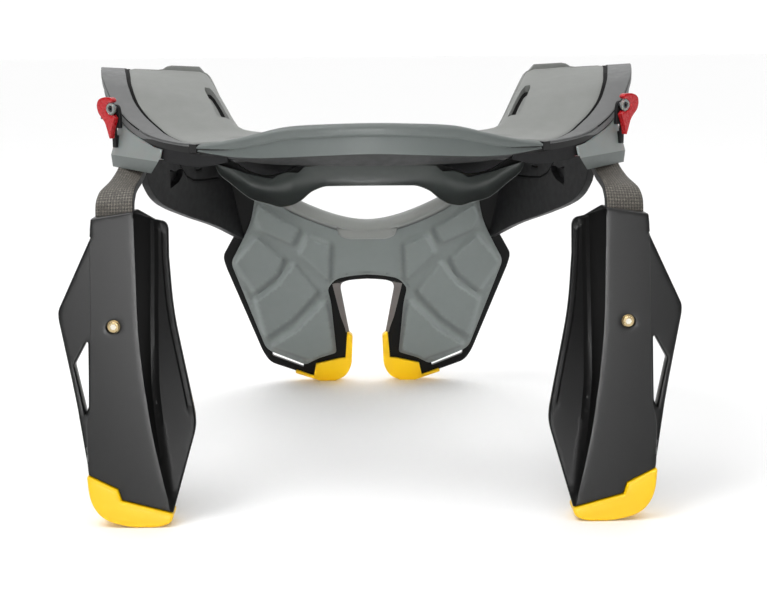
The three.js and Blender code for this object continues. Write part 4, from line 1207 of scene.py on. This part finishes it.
WING_STEP = 0.5
CHANNEL_ROUND = 3
BEND_ROUND = 0.5
BEAD = {"shift": -1.1, "half": 1.8, "height": 1.1, "full_depth": 6, "room": 1}
ROLLED_EDGE = {"depth": 0.5, "band": (2.6, 3.3), "from": (48, 56), "guide": (50, 136)}
GUIDE_HEIGHTS = (4, 150, 98)
SCREW = {"x": 121.8, "z": 93.2, "radius": 2.7, "length": 1.8, "proud": 0.2, "room": 0.35, "socket": 1.4,
         "socket_depth": 0.6, "shaft_length": 11}


def wing_point(x, z, depth):
    return np.column_stack([x, WING_FOOT_Y + WING_LEAN * z + depth, z])


def bent_line(x, corners):
    """Depth along a bent line whose corners, in rising x, are pairs of arrays."""
    depth = np.array(corners[0][1], float) + 0 * x
    for (x0, d0), (x1, d1) in zip(corners, corners[1:]):
        t = np.clip((x - x0) / np.maximum(x1 - x0, 1e-6), 0, 1)
        depth = np.where(x > x0, d0 + (d1 - d0) * t, depth)
    return depth


def soft_least(a, b, blend):
    """The lesser of two values, rounded off where they meet."""
    h = np.clip(0.5 + 0.5 * (b - a) / blend, 0, 1)
    return b * (1 - h) + a * h - blend * h * (1 - h)


def inset_line(outline, distance):
    """Points along a closed outline that is drawn in, or out where the distance is negative."""
    way = 1 if signed_area(outline) > 0 else -1
    return resampled(inset(resampled(outline, OUTLINE_STEP), way * distance), GUIDE_STEP)


wing_outline = rounded(WING_OUTLINE)
wing_inner_edge = wing_outline[wing_outline[:, 0] < WING_FLANGE_END]
wing_inner_edge = wing_inner_edge[np.argsort(wing_inner_edge[:, 1])]


def wing_front(x, z):
    """Face of a wing: flat box, rounded channel with a bead in it, flange with a rolled edge and fin."""
    row = WING.read(z)
    share = np.clip((x - WING_INNER) / (row["valley"] - WING_INNER), 0, 2)
    flange = row["edge_depth"] + (row["valley_depth"] - row["edge_depth"]) * share
    slope = row["valley_depth"] * (row["bend"] - x) / (row["bend"] - row["valley"])
    depth = -soft_least(-soft_least(flange, slope, CHANNEL_ROUND), 0 * x, BEND_ROUND)
    place = np.clip(abs(x - row["valley"] - BEAD["shift"]) / BEAD["half"], 0, 1)
    height = BEAD["height"] * np.clip(row["valley_depth"] / BEAD["full_depth"], 0, 1)
    depth = depth - height * (1 - place ** 2) ** 2
    from_edge = distance_to(np.column_stack([x, z]), wing_inner_edge, closed=False)
    rolled = ROLLED_EDGE["depth"] * (1 - smoothstep(*ROLLED_EDGE["band"], from_edge))
    depth = depth + rolled * smoothstep(*ROLLED_EDGE["from"], z)
    step = bent_line(x, [(row["box_outer"] - WING_EASE, 0 * z), (row["box_outer"], WING_EASE + 0 * z),
                         (row["box_outer"] + WING_STEP, row["fin_depth"]),
                         (WING_OUTER + 0 * z, row["fin_depth"])])
    return np.where(x > row["box_outer"] - WING_EASE, step, depth)


def wing_back(x, z):
    row = WING.read(z)
    deep = WING_BOX_DEPTH + 0 * z
    return bent_line(x, [
        (WING_INNER + 0 * z, row["edge_depth"] + WING_SKIN),
        (row["valley"] - WING_BACK_ROOM, row["valley_depth"] + WING_SKIN),
        (row["bend"] + WING_BACK_ROOM, deep), (row["box_outer"] - WING_BACK_ROOM, deep),
        (WING_OUTER + 0 * z, deep)])


def wing_guides():
    """Lines that the face's triangles follow: the bend, bead, rolled edge and step to the fin."""
    z = np.linspace(*GUIDE_HEIGHTS)
    row = WING.read(z)
    wide = row["bend"] - row["valley"] > BEAD["shift"] + BEAD["half"] + BEAD["room"]
    lines = [np.column_stack([row["box_outer"] + shift, z]) for shift in (-WING_EASE, 0, WING_STEP)]
    lines.append(np.column_stack([row["bend"], z]))
    for way in (-1, 0, 1):
        lines.append(np.column_stack([row["valley"] + BEAD["shift"] + way * BEAD["half"], z])[wide])
    for distance in ROLLED_EDGE["band"]:
        edge = inset_line(wing_outline, distance)
        low, high = ROLLED_EDGE["guide"]
        edge = edge[(edge[:, 0] < WING_FLANGE_END + distance) & (edge[:, 1] > low) & (edge[:, 1] < high)]
        lines.append(edge[np.argsort(edge[:, 1])])
    return lines


screw_hole = circle(SCREW["x"], SCREW["z"], SCREW["radius"] + SCREW["room"])
wing = relief("wing_right", wing_outline, wing_front, wing_back, wing_point, spacing=1.5, edge=0.9,
              back_edge=0.6, holes=[rounded(WING_WINDOW), screw_hole], lines=wing_guides(), sharp=28)
bend_heights = np.linspace(0, 150, 151)
bend_line = WING.read(bend_heights)["bend"]


def inside_bend(middle, normal):
    return abs(middle[0]) < np.interp(middle[2], bend_heights, bend_line)


# Inside the bend, the channel and flange take a darker, duller black: painted shade.
for piece in add_pair(wing, ("rear", "rear"), "black_plastic", BLACK, "wing"):
    paint(piece, DULL_BLACK_AND_SHADE, inside_bend)

bumper = flat_plate("wing_bumper_right", rounded(WING_BUMPER), (-WING_BUMPER_PROUD, WING_BOX_DEPTH),
                    wing_point, spacing=1.5, edge=1.4, back_edge=1.4)
add_pair(bumper, ("rear", "rear"), "tip_rubber", YELLOW, "wing_bumper")


def screw_point(x, z, depth):
    y = WING_FOOT_Y + WING_LEAN * SCREW["z"] - SCREW["proud"] + depth
    return np.column_stack([x + SCREW["x"], y + 0 * x, z + SCREW["z"]])


screw = socket_head("wing_screw_right", screw_point, SCREW["radius"], SCREW["length"], SCREW["socket"],
                    SCREW["socket_depth"], SCREW["radius"] + SCREW["room"], SCREW["shaft_length"])


def in_socket(middle, normal):
    return math.hypot(abs(middle[0]) - SCREW["x"], middle[2] - SCREW["z"]) < SCREW["socket"]


# The socket's floor takes a pale finish: a painted highlight.
for piece in add_pair(screw, ("rear", "rear"), "screw_metal", STEEL, "wing_screw"):
    paint(piece, SOCKET_HIGHLIGHT, in_socket)

# Chest

CHEST = {"y": 86, "z": 117, "lean": 0.42, "foam": 2.4, "plate": 6.3, "back": 11.3, "bumper": (4.6, 13)}
CHEST_PLATE = [
    [0, 100], [26, 105], [46, 119], [62, 132], [84, 140], [83.2, 107], [91.6, 92.4, 3], [90.4, 85.4, 4],
    [69.8, 22.6, 4], [65.4, 14.7, 4], [40.8, 4.8, 2], [27, 0.8, 4], [14, 5, 5], [11, 30], [17.6, 70.2, 3],
    [14.8, 74, 4], [7.5, 75, 6], [0, 75.4],
]
CHEST_SLOT = [[64, 25.4, 1], [42.8, 14.4, 0.5], [43.4, 10.8, 0.5], [63.5, 19.7, 1]]
CHEST_FOAM = [
    [0, 112], [20, 114], [46, 128], [66, 136], [69.4, 129.5], [72, 116.5, 8], [78, 104, 8], [86.6, 88.2, 4],
    [67.6, 26.4, 4], [63, 23], [41.4, 13, 3], [32.7, 18.4, 2], [20.8, 22, 2], [23.7, 59.6, 6], [25.8, 69, 3],
    [20.6, 76, 4], [10.5, 78.2, 8], [0, 79],
]
CHEST_PANELS = [
    [[66, 126], [43, 110], [47, 102], [66, 111], [69, 119]],
    [[69, 105.5], [54, 90], [57.5, 81], [72, 68.5], [83.2, 88.4]],
    [[37, 105], [24, 99.5], [25, 77], [42, 94.5]],
    [[46.6, 86.5], [33, 67.3], [48.5, 49.3], [66, 36], [71.4, 61.5], [56.5, 73]],
    [[28, 59], [26.4, 52], [23, 24.5], [37, 18.5], [62, 28.6], [46.5, 39.3]],
]
PANEL_SLOPE = 3.3
PANEL_CORNER = 1.6
PANEL_HEIGHT = 3.4
# Shares of the slope's width where it starts and ends.
PANEL_FALL = (-0.15, 1.1)
FOAM_BORDER = {"depth": 0.9, "band": (1.1, 1.9)}
CHEST_BUMPER = [
    [13.4, 37.2, 1.2], [9.8, 34.4, 1.2], [10.7, 12, 4], [14.8, 3.5, 4], [22, 0], [32, 0], [49.1, 6.5, 1.1],
    [48.1, 9, 1.1], [36.6, 4.2], [34.6, 13.6], [19.5, 17.4], [15, 17.8],
]
NECK_TAB = [[0, 104], [12.5, 104, 3], [17.6, 106.6, 2], [19, 112], [0, 112]]
NECK_TAB_DEPTH = (-2.2, 2.6)
CHEST_FILL = 0.95


def chest_point(x, z, depth):
    return np.column_stack([x, CHEST["y"] + CHEST["lean"] * (CHEST["z"] - z) + depth, z])


def prism(name, outline, to_point, near, far):
    """Plain block from an outline, used for cutting."""
    flat = np.array(outline)
    return loft(name, np.array([to_point(flat[:, 0], flat[:, 1], depth) for depth in (near, far)]))


# Reach of the cutting blocks beside and above the front half, and their room below the pad.
CUT = {"beside": 3, "high": -40, "below_pad": 0.95, "step": 3}


def above_front():
    """Blocks that hold everything above the underside of the front half."""
    turns = turns_between(-CREST, CREST, CUT["step"])

    def frame_block(row):
        near, far = FRONT_FRAME_INNER - GAP, row["width"] + CUT["beside"]
        low = [frame_underside(row, across, FRONT_FRAME_INNER) for across in (near, far)]
        return section_corners((near, CUT["high"]), (far, CUT["high"]), (far, low[1]), (near, low[0]))

    def pad_block(row):
        near, far = -CUT["beside"] + 0 * row["width"], FRONT_FRAME_INNER
        low = PAD_THICKNESS + CUT["below_pad"]
        return section_corners((near, CUT["high"]), (far, CUT["high"]), (far, low), (near, low))

    return [collar_loft("above frame", FRONT_COLLAR, turns, frame_block, 0),
            collar_loft("above pad", FRONT_COLLAR, turns, pad_block, 0)]


# A band along each side of the notch slopes away from the plate's face, from its start to the notch's edge.
NOTCH_BAND = Table(["z", "edge", "start"], [
    [14, 12.6, 14],
    [34, 11.6, 14],
    [50, 14.1, 17.9],
    [72, 17.6, 22.6],
])
NOTCH_SPAN = (14, 72)
NOTCH_FADE = {"low": (18, 34), "high": (71.5, 74)}
NOTCH_HEIGHTS = (36.5, 72.4)
NOTCH_GUIDE = (20, 72, 45)
# Faces that look forward past this slope are the plate's back.
PLATE_BACK_SLOPE = 0.5
NOTCH_SLOPE = 3.4


def plate_front(x, z):
    """Face of the plate, with the sloping bands beside the notch."""
    row = NOTCH_BAND.read(np.clip(z, *NOTCH_SPAN))
    slope = np.clip((row["start"] - abs(x)) / (row["start"] - row["edge"]), 0, 1)
    ends = smoothstep(*NOTCH_FADE["low"], z) * (1 - smoothstep(*NOTCH_FADE["high"], z))
    return CHEST["plate"] + NOTCH_SLOPE * slope * ends


def both(outline):
    """An outline and its mirror image."""
    flat = np.array(outline)
    return [flat, flat * [-1, 1]]


def notch_lines():
    """Borders of the sloping bands, for the plate's triangles to follow."""
    z = np.linspace(*NOTCH_GUIDE)
    return both(np.column_stack([NOTCH_BAND.read(z)["start"], z]))


plate = relief("chest_plate_shell", rounded(both_sides(CHEST_PLATE)), plate_front, level(CHEST["back"]),
               chest_point, spacing=1.8, edge=0.8, back_edge=0.8, holes=both(rounded(CHEST_SLOT)),
               lines=notch_lines())
cut(plate, *above_front())
add(plate, "front", "black_plastic", DULL_BLACK_AND_SHADE, "chest_plate")


def on_notch_slope(middle, normal):
    low, high = NOTCH_HEIGHTS
    at_band = low < middle[2] < high and abs(middle[0]) < NOTCH_BAND.read(middle[2])["start"][0]
    return at_band and normal.y < PLATE_BACK_SLOPE


# The sloping bands beside the notch take a paler grey-brown.
paint(plate, NOTCH_PALE, on_notch_slope)

panels = [rounded([[*corner, PANEL_CORNER] for corner in corners], 4) for corners in CHEST_PANELS]
foam_outline = rounded(both_sides(CHEST_FOAM))


def foam_front(x, z):
    """Raised panels with slopes around them, and a lower border along the outer edge."""
    points = np.column_stack([abs(x), z])
    height = np.zeros(len(x))
    for panel in panels:
        fall = 1 - smoothstep(*PANEL_FALL, distance_to(points, panel) / PANEL_SLOPE)
        height = np.maximum(height, np.where(inside(points, panel), 1, fall) * PANEL_HEIGHT)
    border = distance_to(np.column_stack([x, z]), foam_outline)
    return CHEST["foam"] - height + FOAM_BORDER["depth"] * (1 - smoothstep(*FOAM_BORDER["band"], border))


# The line along the foam's border shows from this x and above this z.
BORDER_LINE = (67, 86)
# Scaling of the foam's colour: painted light and shade on its slopes, a painted highlight on its panels'
# crests, and a dark line along its border.
SHADING_AND_SEAM = {"step": 0.4, "up": 0.42, "outward": 0.3, "dark": 0.34, "light": 0.42, "crest": 0.1, "crest_width": 0.9,
        "line": 0.4, "line_width": 0.5}
TAB_ROOM = {"wider": 1.03, "middle": 105, "above": 2, "depths": (-5, 5)}


def foam_guides():
    """Lines that the foam's triangles follow: crests and feet of the panels' slopes, and the border."""
    lines = []
    for panel in panels:
        for share in (0, 0.5, 1):
            closed = inset_line(panel, -PANEL_SLOPE * share) if share else resampled(panel, GUIDE_STEP)
            closed = np.vstack([closed, closed[:1]])
            lines += [closed, closed * [-1, 1]]
    for distance in FOAM_BORDER["band"]:
        line = inset_line(foam_outline, distance)
        for side in (-1, 1):
            lines.append(line[(line[:, 0] * side > BORDER_LINE[0]) & (line[:, 1] > BORDER_LINE[1])])
    return lines


chest_pad = relief("chest_foam_pad", foam_outline, foam_front, level(CHEST["plate"] - GAP), chest_point,
                   spacing=1.5, edge=0.8, back_edge=0.3, lines=foam_guides(), sharp=50)
tab_outline = both_sides(NECK_TAB)
grown_tab = rounded([
    [x * TAB_ROOM["wider"], z - GAP if z < TAB_ROOM["middle"] else z + TAB_ROOM["above"], *r]
    for x, z, *r in tab_outline])
cut(chest_pad, *above_front(), prism("tab room", grown_tab, chest_point, *TAB_ROOM["depths"]), sharp=50)
add(chest_pad, "front", "chest_foam", CHEST_FOAM_FINISH, "chest_pad", fill=CHEST_FILL)


def mark_shading_and_seam(piece):
    """Point attribute that scales the foam's colour: a painted highlight on crests, painted light on slopes
    that face up or outward and painted shade on those facing down or inward, and a dark line along the border.
    """
    places = np.array([v.co for v in piece.data.vertices]) / MM - OFFSET
    x, z = places[:, 0], places[:, 2]
    step = SHADING_AND_SEAM["step"]
    up = (foam_front(x, z + step) - foam_front(x, z - step)) / (2 * step)
    outward = (foam_front(x + step, z) - foam_front(x - step, z)) / (2 * step) * np.sign(x)
    tone = 1 + np.clip(SHADING_AND_SEAM["up"] * up + SHADING_AND_SEAM["outward"] * outward, -SHADING_AND_SEAM["dark"], SHADING_AND_SEAM["light"])
    folded = np.column_stack([abs(x), z])
    for panel in panels:
        tone += SHADING_AND_SEAM["crest"] * np.exp(-(distance_to(folded, panel) / SHADING_AND_SEAM["crest_width"]) ** 2)
    border = distance_to(np.column_stack([x, z]), foam_outline)
    shown = (abs(x) > BORDER_LINE[0]) & (z > BORDER_LINE[1])
    from_line = border - np.mean(FOAM_BORDER["band"])
    tone -= shown * SHADING_AND_SEAM["line"] * np.exp(-(from_line / SHADING_AND_SEAM["line_width"]) ** 2)
    layer = piece.data.attributes.new("tone", "FLOAT", "POINT")
    layer.data.foreach_set("value", tone)


mark_shading_and_seam(chest_pad)

tab = flat_plate("neckline_tab", rounded(tab_outline), NECK_TAB_DEPTH, chest_point, spacing=1.2, edge=2,
                 back_edge=0.4)
add(tab, "front", "collar_foam", FOAM, fill=CHEST_FILL)

chest_bumper = flat_plate("chest_bumper_right", rounded(CHEST_BUMPER), CHEST["bumper"], chest_point,
                          spacing=1.2, edge=1, back_edge=1)
add_pair(chest_bumper, ("front", "front"), "tip_rubber", YELLOW, "chest_bumper")

# Front arms

ARM_START = np.array([119.8, -10])
ARM_END = np.array([82.0, 85])
ARM_THICKNESS = 4.5
ARM_LENGTH = 122
ARM_BOTTOM = Table(["along", "bottom"], [
    [0, 156.4], [1.5, 151.2], [5, 146], [10, 141], [18, 136.4], [45, 127.1], [81, 116.4], [106, 107.2],
    [ARM_LENGTH, 101],
])
ARM_TOP = [
    [0, 170], [1.5, 176], [5, 183], [10, 189], [18, 200], [45, 200], [81, 175], [106, 150], [ARM_LENGTH, 142],
]
ARM_SEAMS = [
    [[19.2, 164.5], [30.6, 161.3], [37.9, 157.3], [41.6, 153.4], [45.4, 150], [52.8, 147.2], [65.3, 146.1],
     [83, 145.7]],
    [[41.6, 163.6], [44.5, 161.4], [49.8, 160], [65.3, 158.7], [81, 157.7]],
    [[56, 152.8], [59, 152.5], [62, 152.8]],
]
ARM_DIMPLE = [
    [25.4, 144.9], [25.4, 155.6], [31.4, 153.9, 1], [36.4, 155.2], [40.1, 154.8, 1], [39.6, 151.3, 1],
    [34.4, 147.5, 1],
]
ARM_DIMPLE_DEPTH = 3.6
ARM_DIMPLE_WALL = 0.5
ARM_GROOVE = {"depth": 0.7, "band": (0.25, 0.8)}
SEAM_WIDTH = 0.5
SEAM_HEIGHTS = (145, 166)

arm_way = (ARM_END - ARM_START) / np.linalg.norm(ARM_END - ARM_START)


def arm_point(along, z, depth):
    out = np.array([arm_way[1], -arm_way[0]])
    flat = ARM_START + along[:, None] * arm_way + np.asarray(depth)[:, None] * out
    return np.column_stack([flat, z])


dimple = rounded(ARM_DIMPLE, 3)
seams = [np.array(line, float) for line in ARM_SEAMS]


def arm_front(along, z):
    """Face of an arm that looks to the middle, with grooved seams and a dimple."""
    points = np.column_stack([along, z])
    depth = np.zeros(len(along))
    for line in seams:
        away = distance_to(points, line, closed=False)
        depth += ARM_GROOVE["depth"] * (1 - smoothstep(*ARM_GROOVE["band"], away))
    wall = np.where(inside(points, dimple), np.clip(distance_to(points, dimple) / ARM_DIMPLE_WALL, 0, 1), 0)
    return depth + ARM_DIMPLE_DEPTH * wall


arm_along = np.linspace(ARM_LENGTH, 0, 50)
arm_bottom = np.column_stack([arm_along, ARM_BOTTOM.read(arm_along)["bottom"]])
arm_outline = np.vstack([np.array(ARM_TOP, float), arm_bottom])
arm_lines = []
for loop in (dimple, inset(resampled(dimple, 2), ARM_DIMPLE_WALL * (1 if signed_area(dimple) > 0 else -1))):
    arm_lines.append(np.vstack([resampled(loop, 1), loop[:1]]))
for line in seams:
    seam = resampled(np.vstack([line, line[::-1]]), 1)
    seam = seam[:len(seam) // 2]
    arm_lines += [seam, seam + [0, SEAM_WIDTH], seam - [0, SEAM_WIDTH]]
arm = relief("front_arm_right", arm_outline, arm_front, level(ARM_THICKNESS), arm_point, spacing=1.1,
             edge=0.25, back_edge=0.25, lines=arm_lines)
# Block that holds everything behind the chest plate's face on the right side.
BEHIND_PLATE = [[0, 40], [140, 40], [140, 240], [0, 240]]
BEHIND_PLATE_DEPTH = 90
behind_plate = prism("behind plate", BEHIND_PLATE, chest_point, CHEST["plate"] - GAP, BEHIND_PLATE_DEPTH)
cut(arm, *above_front(), behind_plate)


def on_seam(middle, normal):
    faces_middle = normal.x * middle[0] < 0
    if not faces_middle or not SEAM_HEIGHTS[0] < middle[2] < SEAM_HEIGHTS[1]:
        return False
    place = np.array([[(np.array([abs(middle[0]), middle[1]]) - ARM_START) @ arm_way, middle[2]]])
    return min(distance_to(place, line, closed=False)[0] for line in seams) < SEAM_WIDTH


for piece in add_pair(arm, ("front", "front"), "black_plastic", CHARCOAL, "front_arm"):
    paint(piece, SEAMS_AND_SHADE, on_seam)

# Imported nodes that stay, with their facets smoothed

SMOOTH_ANGLE = math.radians(30)
FACET_MERGE = 0.01
KEPT_NODES = {"rear_frame": CHARCOAL, "front_frame": CHARCOAL, "hinge_pin": PIN, "catch_pin": PIN}


def smooth_by_angle():
    """Modifier that joins a node's facets and shades them smooth except at its edges."""
    group = bpy.data.node_groups.new("smooth facets", "GeometryNodeTree")
    group.interface.new_socket("Geometry", in_out="INPUT", socket_type="NodeSocketGeometry")
    group.interface.new_socket("Geometry", in_out="OUTPUT", socket_type="NodeSocketGeometry")
    entry, leave = group.nodes.new("NodeGroupInput"), group.nodes.new("NodeGroupOutput")
    merge = group.nodes.new("GeometryNodeMergeByDistance")
    merge.inputs["Distance"].default_value = FACET_MERGE * MM
    faces = group.nodes.new("GeometryNodeSetShadeSmooth")
    edges = group.nodes.new("GeometryNodeSetShadeSmooth")
    edges.domain = "EDGE"
    angle = group.nodes.new("GeometryNodeInputMeshEdgeAngle")
    limit = group.nodes.new("FunctionNodeCompare")
    limit.operation = "LESS_THAN"
    limit.inputs["B"].default_value = SMOOTH_ANGLE
    group.links.new(entry.outputs[0], merge.inputs["Geometry"])
    group.links.new(merge.outputs["Geometry"], faces.inputs["Geometry"])
    group.links.new(faces.outputs["Geometry"], edges.inputs["Geometry"])
    group.links.new(angle.outputs["Unsigned Angle"], limit.inputs["A"])
    group.links.new(limit.outputs["Result"], edges.inputs["Shade Smooth"])
    group.links.new(edges.outputs["Geometry"], leave.inputs[0])
    return group


smooth_facets = smooth_by_angle()
for node, finish in KEPT_NODES.items():
    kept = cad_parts[node]
    kept.data.materials.clear()
    kept.data.materials.append(finish.material)
    kept.modifiers.new("smooth facets", "NODES").node_group = smooth_facets

# Floor, light and camera

FLOOR_SIZE = 80
floor_mesh = bpy.data.meshes.new("floor")
corner = FLOOR_SIZE / 2
floor_mesh.from_pydata([(x * corner, y * corner, 0) for x, y in SQUARE], [], [(0, 1, 2, 3)])
floor = bpy.data.objects.new("floor", floor_mesh)
bpy.context.scene.collection.objects.link(floor)
floor_mesh.materials.append(Finish("pale floor", linear(254, 254, 254), 0.9, 0.004, 200, 2, 0.02).material)

# The room is white beyond the brace and overhead, and dark on the camera's side. Each row gives an axis, where
# along it the light starts and is full, and how bright it gets.
ROOM_DARK = 0.07
ROOM_LIGHT = (("Y", 0.05, 0.4, 1.1), ("Z", 0.6, 0.85, 1.6))
world = bpy.data.worlds.new("studio")
world.use_nodes = True
sky = world.node_tree.nodes["Background"]
sky.inputs["Strength"].default_value = 1.0
heading = world.node_tree.nodes.new("ShaderNodeTexCoord")
parts = world.node_tree.nodes.new("ShaderNodeSeparateXYZ")
lightest = world.node_tree.nodes.new("ShaderNodeMath")
lightest.operation = "MAXIMUM"
world.node_tree.links.new(heading.outputs["Generated"], parts.inputs["Vector"])
for k, (axis, low, high, bright) in enumerate(ROOM_LIGHT):
    ramp = world.node_tree.nodes.new("ShaderNodeMapRange")
    for name, number in (("From Min", low), ("From Max", high), ("To Min", ROOM_DARK), ("To Max", bright)):
        ramp.inputs[name].default_value = number
    world.node_tree.links.new(parts.outputs[axis], ramp.inputs["Value"])
    world.node_tree.links.new(ramp.outputs["Result"], lightest.inputs[k])
world.node_tree.links.new(lightest.outputs["Value"], sky.inputs["Color"])
bpy.context.scene.world = world


# Area lights: name, place and target, width, height, watts and spread in degrees. Lengths are in metres.
LAMPS = (
    ("key light", (-0.6, -0.4, 1.3), (0, 0, 0.15), 0.6, 0.6, 6, 180),
    ("front light", (-0.1, -1.85, 0.58), (0, 0, 0.12), 1.0, 0.3, 7.5, 180),
    ("chest light", (0, -1.25, 0.27), (0, 0.11, 0.05), 0.2, 0.2, 0.055, 12),
)


def lamp(name, place, target, width, height, power, spread):
    light = bpy.data.lights.new(name, "AREA")
    light.spread = math.radians(spread)
    light.shape = "RECTANGLE"
    light.size = width
    light.size_y = height
    light.energy = power
    piece = bpy.data.objects.new(name, light)
    piece.location = place
    piece.rotation_euler = (Vector(target) - Vector(place)).to_track_quat("-Z", "Y").to_euler()
    bpy.context.scene.collection.objects.link(piece)


for row in LAMPS:
    lamp(*row)

# The camera stands behind the brace, a little above it, as in the photo.
CAMERA = {"place": (8.0, -709.5, 220.7), "pitch": 11.0, "yaw": 1.25, "roll": 0.4, "focal": 1290.0,
          "width": 767.0, "sensor": 36}


def camera():
    pitch, yaw, roll = (math.radians(CAMERA[name]) for name in ("pitch", "yaw", "roll"))
    ahead = Vector((0, math.cos(pitch), -math.sin(pitch)))
    up = Vector((0, math.sin(pitch), math.cos(pitch)))
    side = Vector((1, 0, 0))
    turned_side = side * math.cos(roll) - up * math.sin(roll)
    turned_up = side * math.sin(roll) + up * math.cos(roll)
    turn = Matrix.Rotation(-yaw, 3, "Z")
    place = turn @ Vector(CAMERA["place"]) + Vector(OFFSET)
    axes = Matrix([turn @ turned_side, turn @ turned_up, turn @ -ahead]).transposed().to_4x4()
    data = bpy.data.cameras.new("camera")
    data.sensor_width = CAMERA["sensor"]
    data.lens = CAMERA["focal"] / CAMERA["width"] * data.sensor_width
    piece = bpy.data.objects.new("camera", data)
    piece.matrix_world = Matrix.Translation(place * MM) @ axes
    bpy.context.scene.collection.objects.link(piece)
    bpy.context.scene.camera = piece


camera()
bpy.context.scene.view_settings.view_transform = "Standard"
